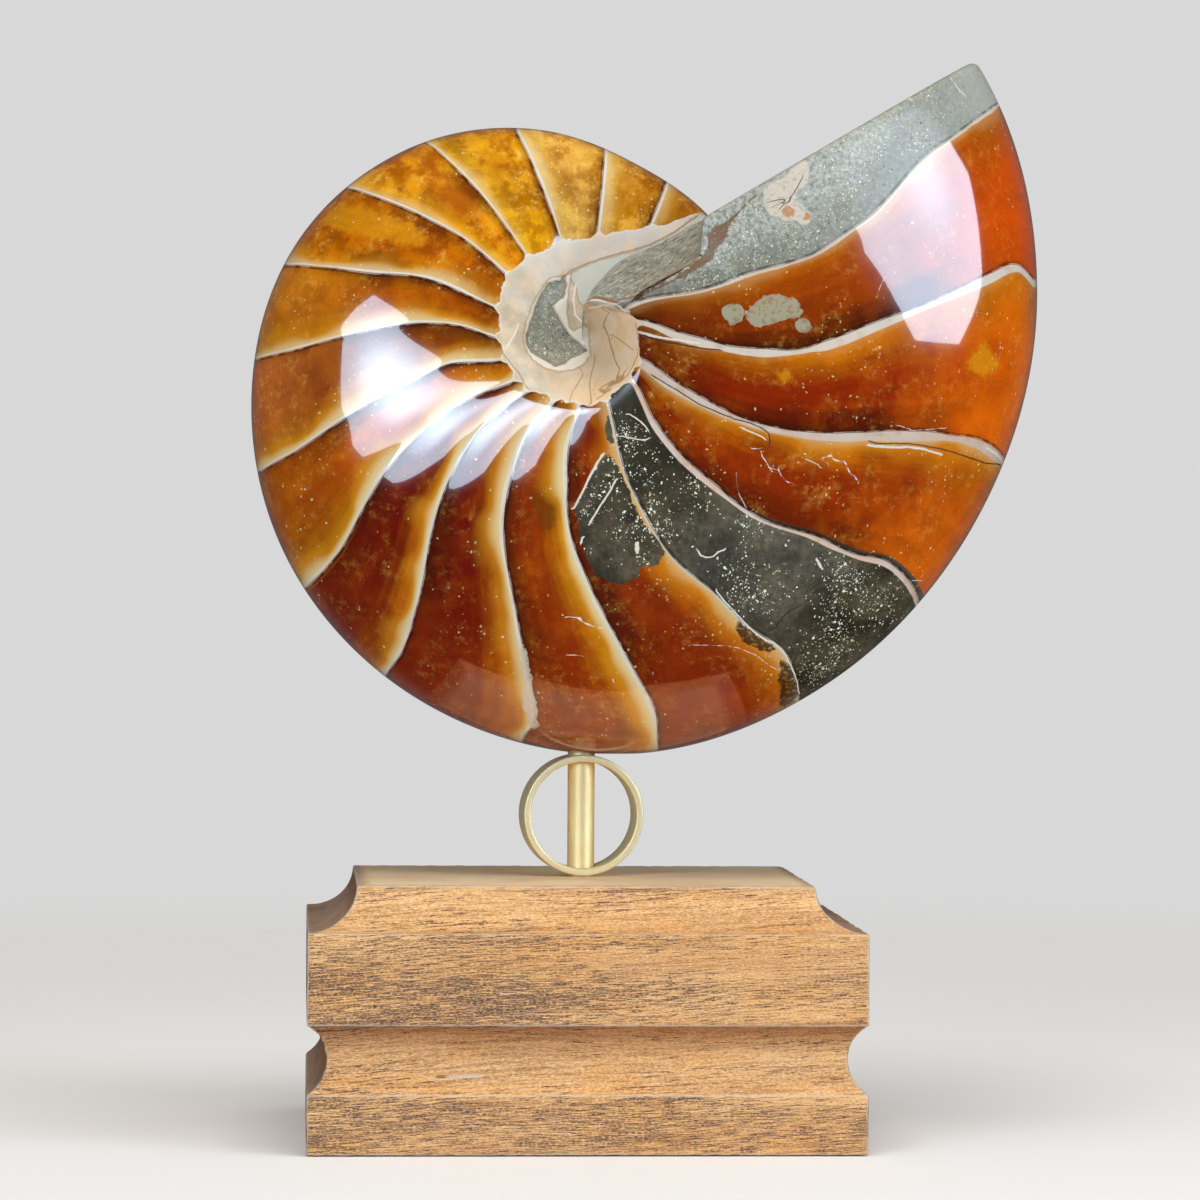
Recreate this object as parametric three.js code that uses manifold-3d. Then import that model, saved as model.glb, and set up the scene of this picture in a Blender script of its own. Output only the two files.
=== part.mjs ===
// A polished fossil nautilus that stands on a moulded wooden base. A brass rod holds it up: it rises from
// the base, passes through a brass ring and ends in a blind hole drilled in the underside of the shell.
//
// Millimetres, +Z up. The origin is the middle of the base's underside, +X is to the right of the side
// that shows and +Y points away from the viewer. The shell is coiled in the XZ plane.
import * as THREE from 'three';
import { mergeVertices } from 'three/addons/utils/BufferGeometryUtils.js';
import Module from 'manifold-3d';

const wasm = await Module();
wasm.setup();

// ---------------------------------------------------------------- driving dimensions

const BASE = {
  width: 100, // along X
  depth: 80, // along Y
  height: 47.3,
  topInset: 8.8, // from the base's side to the edge of its top
  coveFoot: 39.3, // height at which the cove under the top runs out
  grooveTop: 23.05, // the scotia groove lies between these two heights
  grooveFoot: 10.6,
  grooveDepth: 3.4,
  coveSteps: 8,
  grooveSteps: 10,
};

const ROD = {
  x: 0.6, // the holes were drilled a little to the right of the middle
  diameter: 5,
  holeDiameter: 5.6,
  holeInBase: 15, // depth of each blind hole
  holeInShell: 10,
  endGap: 0.3,
  sides: 24,
};

const RING = {
  diameter: 22.3,
  wall: 1.3,
  length: 8, // along its axis
  lip: 0.3, // rounding of its rims
  turnDeg: 5, // its axis is turned from the Y axis by this much
  sides: 48,
};

const SEAT_GAP = 0.2; // between the ring and what it stands on or carries

const SHELL = {
  x: -0.64, // the umbilicus, the middle of the coil
  z: 145.58,
  startDeg: 44, // the coil grows counterclockwise from the notch to the cut end
  endDeg: 396,
  // Radius of the outline about the umbilicus, at equal steps of angle from startDeg to endDeg.
  radii: [34.2, 35.4, 40.9, 48, 55.3, 61.2, 67.3, 72.4, 76.5, 78.2, 81.1, 86.1, 90.9],
  // The shoulder around the umbilicus, as a share of the radius at the same angles.
  shoulders: [0.62, 0.55, 0.46, 0.37, 0.3, 0.24, 0.2, 0.168, 0.152, 0.137, 0.125, 0.106, 0.08],
  thickness: 0.8, // full width of a section, as a share of its radius
  roundness: 2.2, // exponent of the superellipse that the section follows
  hollowHeight: 17, // half the distance between the floors of the two umbilical hollows
  hollowPower: 1.5,
  flatHeight: BASE.height + RING.diameter + 2 * SEAT_GAP, // the ground spot that rests on the ring
};

// The cut end of the body chamber is a flat face square to the XZ plane. It rises at slopeDeg and
// passes the umbilicus at the distance offset. Near the umbilicus its edge is broken back.
const CUT = {
  slopeDeg: 31.1,
  offset: 7.7,
  breakDeg: 35, // direction of the broken stretch, seen from the umbilicus
  breakFrom: 30, // radii between which the edge leaves the flat face
  breakTo: 23,
  edgeRadius: 1.8,
};

// The first section of the coil, where it comes out of the cut end, leans back towards the umbilicus.
const START_LEAN_DEG = 37;
const START_BLEND_DEG = 90;
const END_BLEND_DEG = 40;

// How the columns of the shell's grid crowd towards the venter (below 1) or the shoulder (above 1).
const COLUMN_POWER_START = 0.48;
const COLUMN_POWER_END = 2.1;

const SHELL_GRID = { sections: 60, hollowColumns: 4, flankColumns: 14, faceRows: 2 };

// ---------------------------------------------------------------- materials

const stoneFinish = new THREE.MeshStandardMaterial({ color: 0x9a4a12, roughness: 0.18, metalness: 0 });
const woodFinish = new THREE.MeshStandardMaterial({ color: 0xa9783f, roughness: 0.6, metalness: 0 });
const brassFinish = new THREE.MeshStandardMaterial({ color: 0xc9a255, roughness: 0.32, metalness: 1 });

// ---------------------------------------------------------------- small helpers

const toRadians = THREE.MathUtils.degToRad;
const blendStep = (value) => THREE.MathUtils.smoothstep(value, 0, 1);

/** A closed solid for joining and cutting, from a three.js geometry. */
function toSolid(geometry) {
  const bare = geometry.clone();
  bare.deleteAttribute('normal');
  bare.deleteAttribute('uv');
  const merged = mergeVertices(bare, 1e-4);
  return new wasm.Manifold(
    new wasm.Mesh({
      numProp: 3,
      vertProperties: new Float32Array(merged.attributes.position.array),
      triVerts: new Uint32Array(merged.index.array),
    }),
  );
}

/** A three.js geometry from a solid. */
function toGeometry(solid) {
  const mesh = solid.getMesh();
  const geometry = new THREE.BufferGeometry();
  geometry.setAttribute('position', new THREE.BufferAttribute(mesh.vertProperties, 3));
  geometry.setIndex(new THREE.BufferAttribute(mesh.triVerts, 1));
  geometry.computeVertexNormals();
  return geometry;
}

/** A geometry from a list of points and a list of triangles. */
function indexedGeometry(points, triangles) {
  const geometry = new THREE.BufferGeometry();
  geometry.setAttribute('position', new THREE.Float32BufferAttribute(points.flatMap((p) => p.toArray()), 3));
  geometry.setIndex(triangles.flat());
  return geometry;
}

/** An upright cylinder between two heights, its axis at ROD.x. */
function uprightCylinder(diameter, bottom, top) {
  const cylinder = new THREE.CylinderGeometry(diameter / 2, diameter / 2, top - bottom, ROD.sides);
  cylinder.rotateX(Math.PI / 2);
  cylinder.translate(ROD.x, 0, (bottom + top) / 2);
  return cylinder;
}

/** A smooth curve through values at equal steps, read by a share from 0 to 1. */
function smoothSeries(values) {
  const last = values.length - 1;
  const curve = new THREE.SplineCurve(values.map((value, index) => new THREE.Vector2(index / last, value)));
  return (share) => curve.getPoint(THREE.MathUtils.clamp(share, 0, 1)).y;
}

// ---------------------------------------------------------------- wooden base

/** The moulding's outline from the underside to the top, as pairs of inset and height. */
function mouldingOutline() {
  const outline = [[0, 0]];
  const half = (BASE.grooveTop - BASE.grooveFoot) / 2;
  const grooveRadius = (half * half + BASE.grooveDepth * BASE.grooveDepth) / (2 * BASE.grooveDepth);
  const grooveSweep = Math.asin(half / grooveRadius);
  const grooveMiddle = BASE.grooveFoot + half;
  for (let step = 0; step <= BASE.grooveSteps; step += 1) {
    const angle = grooveSweep * ((2 * step) / BASE.grooveSteps - 1);
    const inset = BASE.grooveDepth - grooveRadius * (1 - Math.cos(angle));
    outline.push([inset, grooveMiddle + grooveRadius * Math.sin(angle)]);
  }
  const coveHeight = BASE.height - BASE.coveFoot;
  for (let step = 0; step <= BASE.coveSteps; step += 1) {
    const angle = (Math.PI / 2) * (step / BASE.coveSteps);
    outline.push([BASE.topInset * Math.sin(angle), BASE.height - coveHeight * Math.cos(angle)]);
  }
  return outline;
}

/** A block whose moulding runs round all four sides and is mitred at the corners. */
function mouldedBlock(outline) {
  const corners = [[-1, -1], [1, -1], [1, 1], [-1, 1]];
  const points = [];
  const triangles = [];
  for (const [inset, height] of outline) {
    for (const [sideX, sideY] of corners) {
      const x = sideX * (BASE.width / 2 - inset);
      const y = sideY * (BASE.depth / 2 - inset);
      points.push(new THREE.Vector3(x, y, height));
    }
  }
  for (let level = 0; level < outline.length - 1; level += 1) {
    for (let corner = 0; corner < 4; corner += 1) {
      const a = 4 * level + corner;
      const b = 4 * level + ((corner + 1) % 4);
      triangles.push([a, b, b + 4], [a, b + 4, a + 4]);
    }
  }
  const top = 4 * (outline.length - 1);
  triangles.push([0, 2, 1], [0, 3, 2], [top, top + 1, top + 2], [top, top + 2, top + 3]);
  return indexedGeometry(points, triangles);
}

function makeBase() {
  const hole = uprightCylinder(ROD.holeDiameter, BASE.height - ROD.holeInBase, BASE.height + 5);
  const solid = toSolid(mouldedBlock(mouldingOutline())).subtract(toSolid(hole));
  return toGeometry(solid);
}

// ---------------------------------------------------------------- brass ring and rod

/** The ring's section, from its bore out to its outside, closed on itself. */
function ringSection() {
  const outer = RING.diameter / 2;
  const inner = outer - RING.wall;
  const half = RING.length / 2;
  const lip = RING.lip;
  const outline = [
    [inner, lip - half],
    [inner + lip, -half],
    [outer - lip, -half],
    [outer, lip - half],
    [outer, half - lip],
    [outer - lip, half],
    [inner + lip, half],
    [inner, half - lip],
    [inner, lip - half],
  ];
  return outline.map(([radius, along]) => new THREE.Vector2(radius, along));
}

/** The ring, bored through from top to bottom for the rod, about its own middle. */
function makeRing() {
  const ring = new THREE.LatheGeometry(ringSection(), RING.sides);
  const bore = new THREE.CylinderGeometry(ROD.holeDiameter / 2, ROD.holeDiameter / 2, 2 * RING.diameter, ROD.sides);
  bore.rotateX(Math.PI / 2);
  return toGeometry(toSolid(ring).subtract(toSolid(bore)));
}

function makeRod() {
  const bottom = BASE.height - ROD.holeInBase + ROD.endGap;
  const top = SHELL.flatHeight + ROD.holeInShell - ROD.endGap;
  return uprightCylinder(ROD.diameter, bottom, top);
}

// ---------------------------------------------------------------- nautilus shell

const radiusSeries = smoothSeries(SHELL.radii);
const shoulderSeries = smoothSeries(SHELL.shoulders);
const growthShare = (degrees) => (degrees - SHELL.startDeg) / (SHELL.endDeg - SHELL.startDeg);

/** How far a section near the start or the end is turned from its own angle, at a radius. */
function leanDegrees(degrees, radius, outerRadius) {
  const startWeight = 1 - blendStep((degrees - SHELL.startDeg) / START_BLEND_DEG);
  const endWeight = blendStep((degrees - (SHELL.endDeg - END_BLEND_DEG)) / END_BLEND_DEG);
  const startLean = START_LEAN_DEG * (1 - radius / outerRadius);
  const onFace = Math.max(radius, CUT.breakFrom);
  const faceDeg = CUT.slopeDeg + THREE.MathUtils.radToDeg(Math.asin(CUT.offset / onFace));
  const onFaceWeight = blendStep((radius - CUT.breakTo) / (CUT.breakFrom - CUT.breakTo));
  const endLean = THREE.MathUtils.lerp(CUT.breakDeg, faceDeg, onFaceWeight) + 360 - SHELL.endDeg;
  return startWeight * startLean + endWeight * endLean;
}

/** A share from 0 to 1 across the flank, crowded as the columns of the grid are there. */
function columnShare(share, degrees) {
  const startWeight = 1 - blendStep((degrees - SHELL.startDeg) / START_BLEND_DEG);
  const endWeight = blendStep((degrees - (SHELL.endDeg - START_BLEND_DEG)) / START_BLEND_DEG);
  const power = 1 + startWeight * (COLUMN_POWER_START - 1) + endWeight * (COLUMN_POWER_END - 1);
  return share ** power;
}

/** Half the shell's width at a share of its radius, outside the shoulder. */
function flankHeight(share, outerRadius) {
  const n = SHELL.roundness;
  return (SHELL.thickness / 2) * outerRadius * Math.max(0, 1 - share ** n) ** (1 / n);
}

/** The place along a section of one column: its share of the radius and its height. */
function sectionPlace(degrees, column, outerRadius) {
  const shoulder = shoulderSeries(growthShare(degrees));
  const shoulderHeight = flankHeight(shoulder, outerRadius);
  if (column <= SHELL_GRID.hollowColumns) {
    const inward = column / SHELL_GRID.hollowColumns;
    const rise = (shoulderHeight - SHELL.hollowHeight) * inward ** SHELL.hollowPower;
    return { share: shoulder * inward, height: SHELL.hollowHeight + rise };
  }
  const n = SHELL.roundness;
  const across = columnShare((column - SHELL_GRID.hollowColumns) / SHELL_GRID.flankColumns, degrees);
  const first = Math.asin(shoulder ** (n / 2));
  const angle = THREE.MathUtils.lerp(first, Math.PI / 2, across);
  const share = Math.sin(angle) ** (2 / n);
  return { share, height: across === 1 ? 0 : flankHeight(share, outerRadius) };
}

/** A point of the shell, on the side that faces -Y. */
function shellPoint(degrees, column) {
  const outerRadius = radiusSeries(growthShare(degrees));
  const { share, height } = sectionPlace(degrees, column, outerRadius);
  const radius = share * outerRadius;
  const angle = toRadians(degrees + leanDegrees(degrees, radius, outerRadius));
  return new THREE.Vector3(SHELL.x + radius * Math.cos(angle), -height, SHELL.z + radius * Math.sin(angle));
}

/** Rows that round the cut edge over and then cross the cut face to the first section. */
function cutRows(beforeEdge, edge, first) {
  const roundedRow = (weightFlank, weightEdge, weightFace) =>
    edge.map((corner, column) => {
      const reach = Math.min(
        CUT.edgeRadius,
        corner.distanceTo(beforeEdge[column]) / 3,
        corner.distanceTo(first[column]) / 3,
      );
      const flank = beforeEdge[column].clone().sub(corner).setLength(reach).add(corner);
      const face = first[column].clone().sub(corner).setLength(reach).add(corner);
      return new THREE.Vector3()
        .addScaledVector(flank, weightFlank)
        .addScaledVector(corner, weightEdge)
        .addScaledVector(face, weightFace);
    });
  const rows = [roundedRow(1, 0, 0), roundedRow(0.25, 0.5, 0.25), roundedRow(0, 0, 1)];
  const faceEdge = rows[rows.length - 1];
  for (let row = 1; row <= SHELL_GRID.faceRows; row += 1) {
    const share = row / (SHELL_GRID.faceRows + 1);
    rows.push(faceEdge.map((point, column) => point.clone().lerp(first[column], share)));
  }
  return rows;
}

/** Every row of the shell's grid: the sections round the coil, then the rows over its cut end. */
function shellRows() {
  const columns = SHELL_GRID.hollowColumns + SHELL_GRID.flankColumns;
  const rows = [];
  for (let row = 0; row <= SHELL_GRID.sections; row += 1) {
    const degrees = THREE.MathUtils.lerp(SHELL.startDeg, SHELL.endDeg, row / SHELL_GRID.sections);
    rows.push(Array.from({ length: columns }, (_, index) => shellPoint(degrees, index + 1)));
  }
  const edge = rows.pop();
  return [...rows, ...cutRows(rows[rows.length - 1], edge, rows[0])];
}

/** The shell as one closed surface: both sides share their rows' points at the venter. */
function shellSurface() {
  const rows = shellRows();
  const columns = rows[0].length;
  const rowLength = 2 * columns - 1;
  const points = [];
  for (const row of rows) {
    const backSide = row.slice(0, -1).reverse().map((point) => new THREE.Vector3(point.x, -point.y, point.z));
    points.push(...row, ...backSide);
  }
  for (const point of points) {
    point.z = Math.max(point.z, SHELL.flatHeight);
  }
  const frontPole = points.length;
  const backPole = frontPole + 1;
  points.push(new THREE.Vector3(SHELL.x, -SHELL.hollowHeight, SHELL.z));
  points.push(new THREE.Vector3(SHELL.x, SHELL.hollowHeight, SHELL.z));
  const triangles = [];
  for (let row = 0; row < rows.length; row += 1) {
    const here = row * rowLength;
    const next = ((row + 1) % rows.length) * rowLength;
    triangles.push([frontPole, here, next], [backPole, next + rowLength - 1, here + rowLength - 1]);
    for (let column = 0; column < rowLength - 1; column += 1) {
      const a = here + column;
      const b = next + column;
      triangles.push([a, a + 1, b + 1], [a, b + 1, b]);
    }
  }
  return indexedGeometry(points, triangles);
}

function makeNautilus() {
  const hole = uprightCylinder(ROD.holeDiameter, SHELL.flatHeight - 5, SHELL.flatHeight + ROD.holeInShell);
  return toGeometry(toSolid(shellSurface()).subtract(toSolid(hole)));
}

// ---------------------------------------------------------------- assembly

/** A named mesh. */
function namedMesh(name, geometry, material) {
  const mesh = new THREE.Mesh(geometry, material);
  mesh.name = name;
  return mesh;
}

const part = new THREE.Group();
part.add(namedMesh('base', makeBase(), woodFinish));
part.add(namedMesh('support_rod', makeRod(), brassFinish));

const ring = namedMesh('spacer_ring', makeRing(), brassFinish);
ring.position.set(ROD.x, 0, BASE.height + SEAT_GAP + RING.diameter / 2);
ring.rotation.z = toRadians(RING.turnDeg);
part.add(ring);

part.add(namedMesh('nautilus', makeNautilus(), stoneFinish));

export default part;
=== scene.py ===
"""A polished fossil nautilus, held by a brass rod and ring above a moulded wooden base.

The scene is in metres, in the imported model's own frame: +Z up, +X to the right of the side that
shows and +Y away from the viewer. The sizes of the pieces are written in millimetres.
"""

import logging
import math
from collections.abc import Callable, Sequence
from dataclasses import dataclass, field
from enum import Enum
from typing import NamedTuple

import bmesh
import bpy
import numpy as np
from mathutils import Euler, Matrix, Vector
from mathutils import noise as rough


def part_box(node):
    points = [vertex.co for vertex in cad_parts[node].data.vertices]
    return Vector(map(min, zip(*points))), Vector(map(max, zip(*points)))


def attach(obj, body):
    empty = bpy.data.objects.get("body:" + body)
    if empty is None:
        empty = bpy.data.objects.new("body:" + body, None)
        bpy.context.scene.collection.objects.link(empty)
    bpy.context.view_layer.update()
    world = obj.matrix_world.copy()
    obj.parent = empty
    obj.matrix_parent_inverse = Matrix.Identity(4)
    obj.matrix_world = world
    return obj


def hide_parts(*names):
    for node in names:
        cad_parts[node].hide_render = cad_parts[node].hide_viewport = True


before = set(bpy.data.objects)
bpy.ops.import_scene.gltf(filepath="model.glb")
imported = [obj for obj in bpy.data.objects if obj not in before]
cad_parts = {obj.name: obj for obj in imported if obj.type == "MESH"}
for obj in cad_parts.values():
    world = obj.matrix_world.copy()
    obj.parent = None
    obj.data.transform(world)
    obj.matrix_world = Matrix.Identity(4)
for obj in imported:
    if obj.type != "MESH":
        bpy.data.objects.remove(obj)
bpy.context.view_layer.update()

LOG = logging.getLogger("fossil_nautilus")
MM = 0.001
TINY = 1e-9
FAR = 9.0  # millimetres; how far away a marking is said to be where it isn't near
FADE_FROM, FADE_TO = 2.2, 1.1  # millimetres from a stroke between which it fades in
FADE_PAST = 0.7  # and how far past its ends it fades out
NO_STROKE = (FAR, 0.0, 0.3)  # offset, weight and width where there isn't any
WANDER = ((0.07, 3.0, 0.0), (0.05, 5.0, 1.3), (0.03, 11.0, 0.0))  # size, waves in a turn, and start

Colour = tuple[float, float, float]
Place = tuple[float, float]
Path = tuple[Place, ...]
Array = np.ndarray
Socket = bpy.types.NodeSocket


# ---------------------------------------------------------------- small helpers


def smooth_step(low: float, high: float, value: Array) -> Array:
    """Rises smoothly from 0 at low to 1 at high."""
    share = np.clip((np.asarray(value, float) - low) / (high - low), 0.0, 1.0)
    return share * share * (3.0 - 2.0 * share)


def even_spline(values: Sequence[float], share: Array) -> Array:
    """Reads a Catmull-Rom curve through values at equal steps.

    Args:
        values: The values that the curve passes through.
        share: Where it is read, from 0 at the first value to 1 at the last.

    Returns:
        The curve's values there.
    """
    known = np.asarray(values, float)
    last = len(known) - 1
    position = np.clip(share, 0.0, 1.0) * last
    index = np.minimum(np.floor(position).astype(int), last - 1)
    part = position - index
    before, here = known[np.maximum(index - 1, 0)], known[index]
    ahead, after = known[index + 1], known[np.minimum(index + 2, last)]
    leave, reach = (ahead - before) * 0.5, (after - here) * 0.5
    cubic = (2.0 * here - 2.0 * ahead + leave + reach) * part**3
    return cubic + (-3.0 * here + 3.0 * ahead - 2.0 * leave - reach) * part**2 + leave * part + here


def hermite(t: Array, start: Array, leave: Array, end: Array, arrive: Array) -> Array:
    """Goes smoothly from one value to another, with a given slope at each end.

    Args:
        t: How far it has gone, from 0 to 1.
        start: The first value.
        leave: The slope there.
        end: The last value.
        arrive: The slope there.

    Returns:
        The values in between.
    """
    value = (2 * t**3 - 3 * t**2 + 1) * start + (t**3 - 2 * t**2 + t) * leave
    return value + (3 * t**2 - 2 * t**3) * end + (t**3 - t**2) * arrive


def smooth_through(known_x: Sequence[float], known_y: Sequence[float], x: Array) -> Array:
    """Reads a smooth curve through uneven points, level beyond its ends.

    Args:
        known_x: Where the points are, rising.
        known_y: Their values.
        x: Where the curve is read.

    Returns:
        The curve's values there.
    """
    xs, ys = np.asarray(known_x, float), np.asarray(known_y, float)
    steps = np.diff(ys) / np.diff(xs)
    slopes = np.concatenate([steps[:1], (steps[1:] + steps[:-1]) / 2.0, steps[-1:]])
    inside = np.clip(x, xs[0], xs[-1])
    index = np.clip(np.searchsorted(xs, inside, side="right") - 1, 0, len(xs) - 2)
    width = xs[index + 1] - xs[index]
    t = (inside - xs[index]) / width
    return hermite(t, ys[index], width * slopes[index], ys[index + 1], width * slopes[index + 1])


def inside_distance(points: Array, outline: Path | Array) -> Array:
    """Signed distance to a closed outline: below zero inside it.

    Args:
        points: Places in the plane of the outline, one per row.
        outline: The corners of the outline, in order.

    Returns:
        One distance per place, in the units of the outline.
    """
    nearest = np.full(len(points), np.inf)
    inside = np.zeros(len(points), bool)
    corners = np.asarray(outline, float)
    for start, end in zip(corners, np.roll(corners, -1, axis=0)):
        along = end - start
        t = np.clip(((points - start) @ along) / (along @ along), 0.0, 1.0)
        nearest = np.minimum(nearest, np.linalg.norm(points - start - t[:, None] * along, axis=1))
        spans = (start[1] > points[:, 1]) != (end[1] > points[:, 1])
        rise = along[1] if abs(along[1]) > TINY else TINY
        crossing = start[0] + (points[:, 1] - start[1]) * along[0] / rise
        inside ^= spans & (points[:, 0] < crossing)
    return np.where(inside, -nearest, nearest)


def weathered(outline: Path) -> Array:
    """Turns a few corners into a rounded outline that wanders a little.

    Args:
        outline: The corners of the outline, in order.

    Returns:
        The corners of the rounded outline, eight for each one given.
    """
    corners = np.asarray(outline, float)
    for _ in range(3):
        onward = np.roll(corners, -1, axis=0)
        pairs = [0.75 * corners + 0.25 * onward, 0.25 * corners + 0.75 * onward]
        corners = np.stack(pairs, axis=1).reshape(-1, 2)
    turn = np.linspace(0.0, math.tau, len(corners), endpoint=False) + corners[0, 0]
    swell = sum((size * np.sin(waves * turn + start) for size, waves, start in WANDER), start=1.0)
    middle = corners.mean(axis=0)
    return middle + (corners - middle) * swell[:, None]


def stroke_field(points: Array, strokes: Sequence["Stroke"]) -> Array:
    """Says for each place how far it lies to one side of the nearest stroke.

    Args:
        points: Places in the plane of the strokes, one per row.
        strokes: Lines with a width.

    Returns:
        Rows of the offset across the stroke, how much of the stroke is there from 0 to 1, and
        the stroke's width.
    """
    found = np.tile(NO_STROKE, (len(points), 1))
    nearest = np.full(len(points), np.inf)
    for stroke in strokes:
        corners = np.asarray(stroke.path, float)
        for start, end in zip(corners[:-1], corners[1:]):
            along, away = end - start, points - start
            t = (away @ along) / (along @ along)
            distance = np.linalg.norm(away - np.clip(t, 0.0, 1.0)[:, None] * along, axis=1)
            left = along[0] * away[:, 1] - along[1] * away[:, 0] < 0.0
            first = 0.0 if np.allclose(start, corners[0]) else -np.inf
            last = 1.0 if np.allclose(end, corners[-1]) else np.inf
            past = np.maximum(first - t, t - last).clip(0.0) * np.linalg.norm(along)
            weight = (1.0 - past / FADE_PAST).clip(0.0) * smooth_step(FADE_FROM, FADE_TO, distance)
            closer = distance < nearest
            nearest = np.where(closer, distance, nearest)
            width = np.full(len(points), stroke.width)
            row = np.stack([np.where(left, -distance, distance), weight, width], axis=1)
            found = np.where(closer[:, None], row, found)
    return found


def mesh_piece(name: str, points: Array, faces: Sequence[Sequence[int]]) -> bpy.types.Object:
    """A new object in the scene from points in metres and faces.

    Args:
        name: The piece's name.
        points: Its vertices.
        faces: Vertex numbers of each face, in order round it.

    Returns:
        The object.
    """
    mesh = bpy.data.meshes.new(name)
    mesh.from_pydata(np.asarray(points, float).tolist(), [], [list(face) for face in faces])
    mesh.update()
    piece = bpy.data.objects.new(name, mesh)
    bpy.context.scene.collection.objects.link(piece)
    return piece


def store(mesh: bpy.types.Mesh, name: str, values: Array) -> None:
    """Keeps one number, or one row of three, for each vertex of a mesh.

    Args:
        mesh: The mesh.
        name: The attribute's name, which a shader reads.
        values: One entry per vertex.
    """
    flat = np.asarray(values, np.float32)
    kind, key = ("FLOAT", "value") if flat.ndim == 1 else ("FLOAT_VECTOR", "vector")
    attribute = mesh.attributes.new(name, kind, "POINT")
    attribute.data.foreach_set(key, flat.ravel())


def dress(piece: bpy.types.Object, sharp_degrees: float, *finishes: "Finish") -> bpy.types.Object:
    """Gives a piece its finishes and shades it smoothly.

    Args:
        piece: The piece.
        sharp_degrees: Edges that turn by more than this stay sharp.
        finishes: Its finishes, in the order of its faces' numbers for them.

    Returns:
        The same piece.
    """
    for finish in finishes:
        piece.data.materials.append(finish.material())
    piece.data.shade_smooth()
    piece.data.set_sharp_from_angle(angle=math.radians(sharp_degrees))
    return piece


def walls(count: int, levels: int) -> list[tuple[int, ...]]:
    """The faces between rings of points that lie one over another.

    Args:
        count: How many points each ring has.
        levels: How many rings there are.

    Returns:
        Four vertex numbers for each face.
    """
    faces = []
    for level in range(levels - 1):
        for side in range(count):
            a, b = level * count + side, level * count + (side + 1) % count
            faces.append((a, b, b + count, a + count))
    return faces


def cut_away(piece: bpy.types.Object, cutter: bpy.types.Object) -> None:
    """Takes one closed mesh out of another and removes the cutter.

    Args:
        piece: The object that is cut.
        cutter: The object that is taken out of it.
    """
    modifier = piece.modifiers.new("cut", "BOOLEAN")
    modifier.operation, modifier.solver, modifier.object = "DIFFERENCE", "EXACT", cutter
    shape = bpy.data.meshes.new_from_object(piece.evaluated_get(bpy.context.evaluated_depsgraph_get()))
    piece.modifiers.clear()
    piece.data = shape
    bpy.data.objects.remove(cutter)


# ---------------------------------------------------------------- shader building

# How many times a noise repeats in a metre: from patches of a centimetre down to specks.
BROAD, WAVY, LOOSE, RAGGED, FINE = 90.0, 110.0, 160.0, 420.0, 1300.0


def joining(operation: str, swapped: bool = False) -> Callable[["Signal", "Feed"], "Signal"]:
    """Makes an operator of a signal and another value.

    Args:
        operation: What the Math node does.
        swapped: Whether the other value comes first.

    Returns:
        The method for it.
    """

    def method(self: "Signal", other: "Feed") -> "Signal":
        """Adds the Math node and returns its result."""
        return self.wiring.math(operation, *((other, self) if swapped else (self, other)))

    return method


@dataclass(frozen=True, eq=False)
class Signal:
    """What one socket puts out; sums, products and comparisons of signals become Math nodes."""

    wiring: "Wiring"
    socket: Socket

    __add__, __radd__ = joining("ADD"), joining("ADD", swapped=True)
    __sub__, __rsub__ = joining("SUBTRACT"), joining("SUBTRACT", swapped=True)
    __mul__, __rmul__ = joining("MULTIPLY"), joining("MULTIPLY", swapped=True)
    __truediv__, __lt__, __gt__ = joining("DIVIDE"), joining("LESS_THAN"), joining("GREATER_THAN")

    def __abs__(self) -> "Signal":
        """The signal without its sign."""
        return self.wiring.math("ABSOLUTE", self)


Feed = Signal | float | Colour
Made = dict[str, Feed]


@dataclass(frozen=True)
class Outlets:
    """The outputs of one node, which are read by name or by number."""

    wiring: "Wiring"
    node: bpy.types.Node

    def __getitem__(self, key: str | int) -> Signal:
        """The output with a name or a number."""
        return Signal(self.wiring, self.node.outputs[key])


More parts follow.
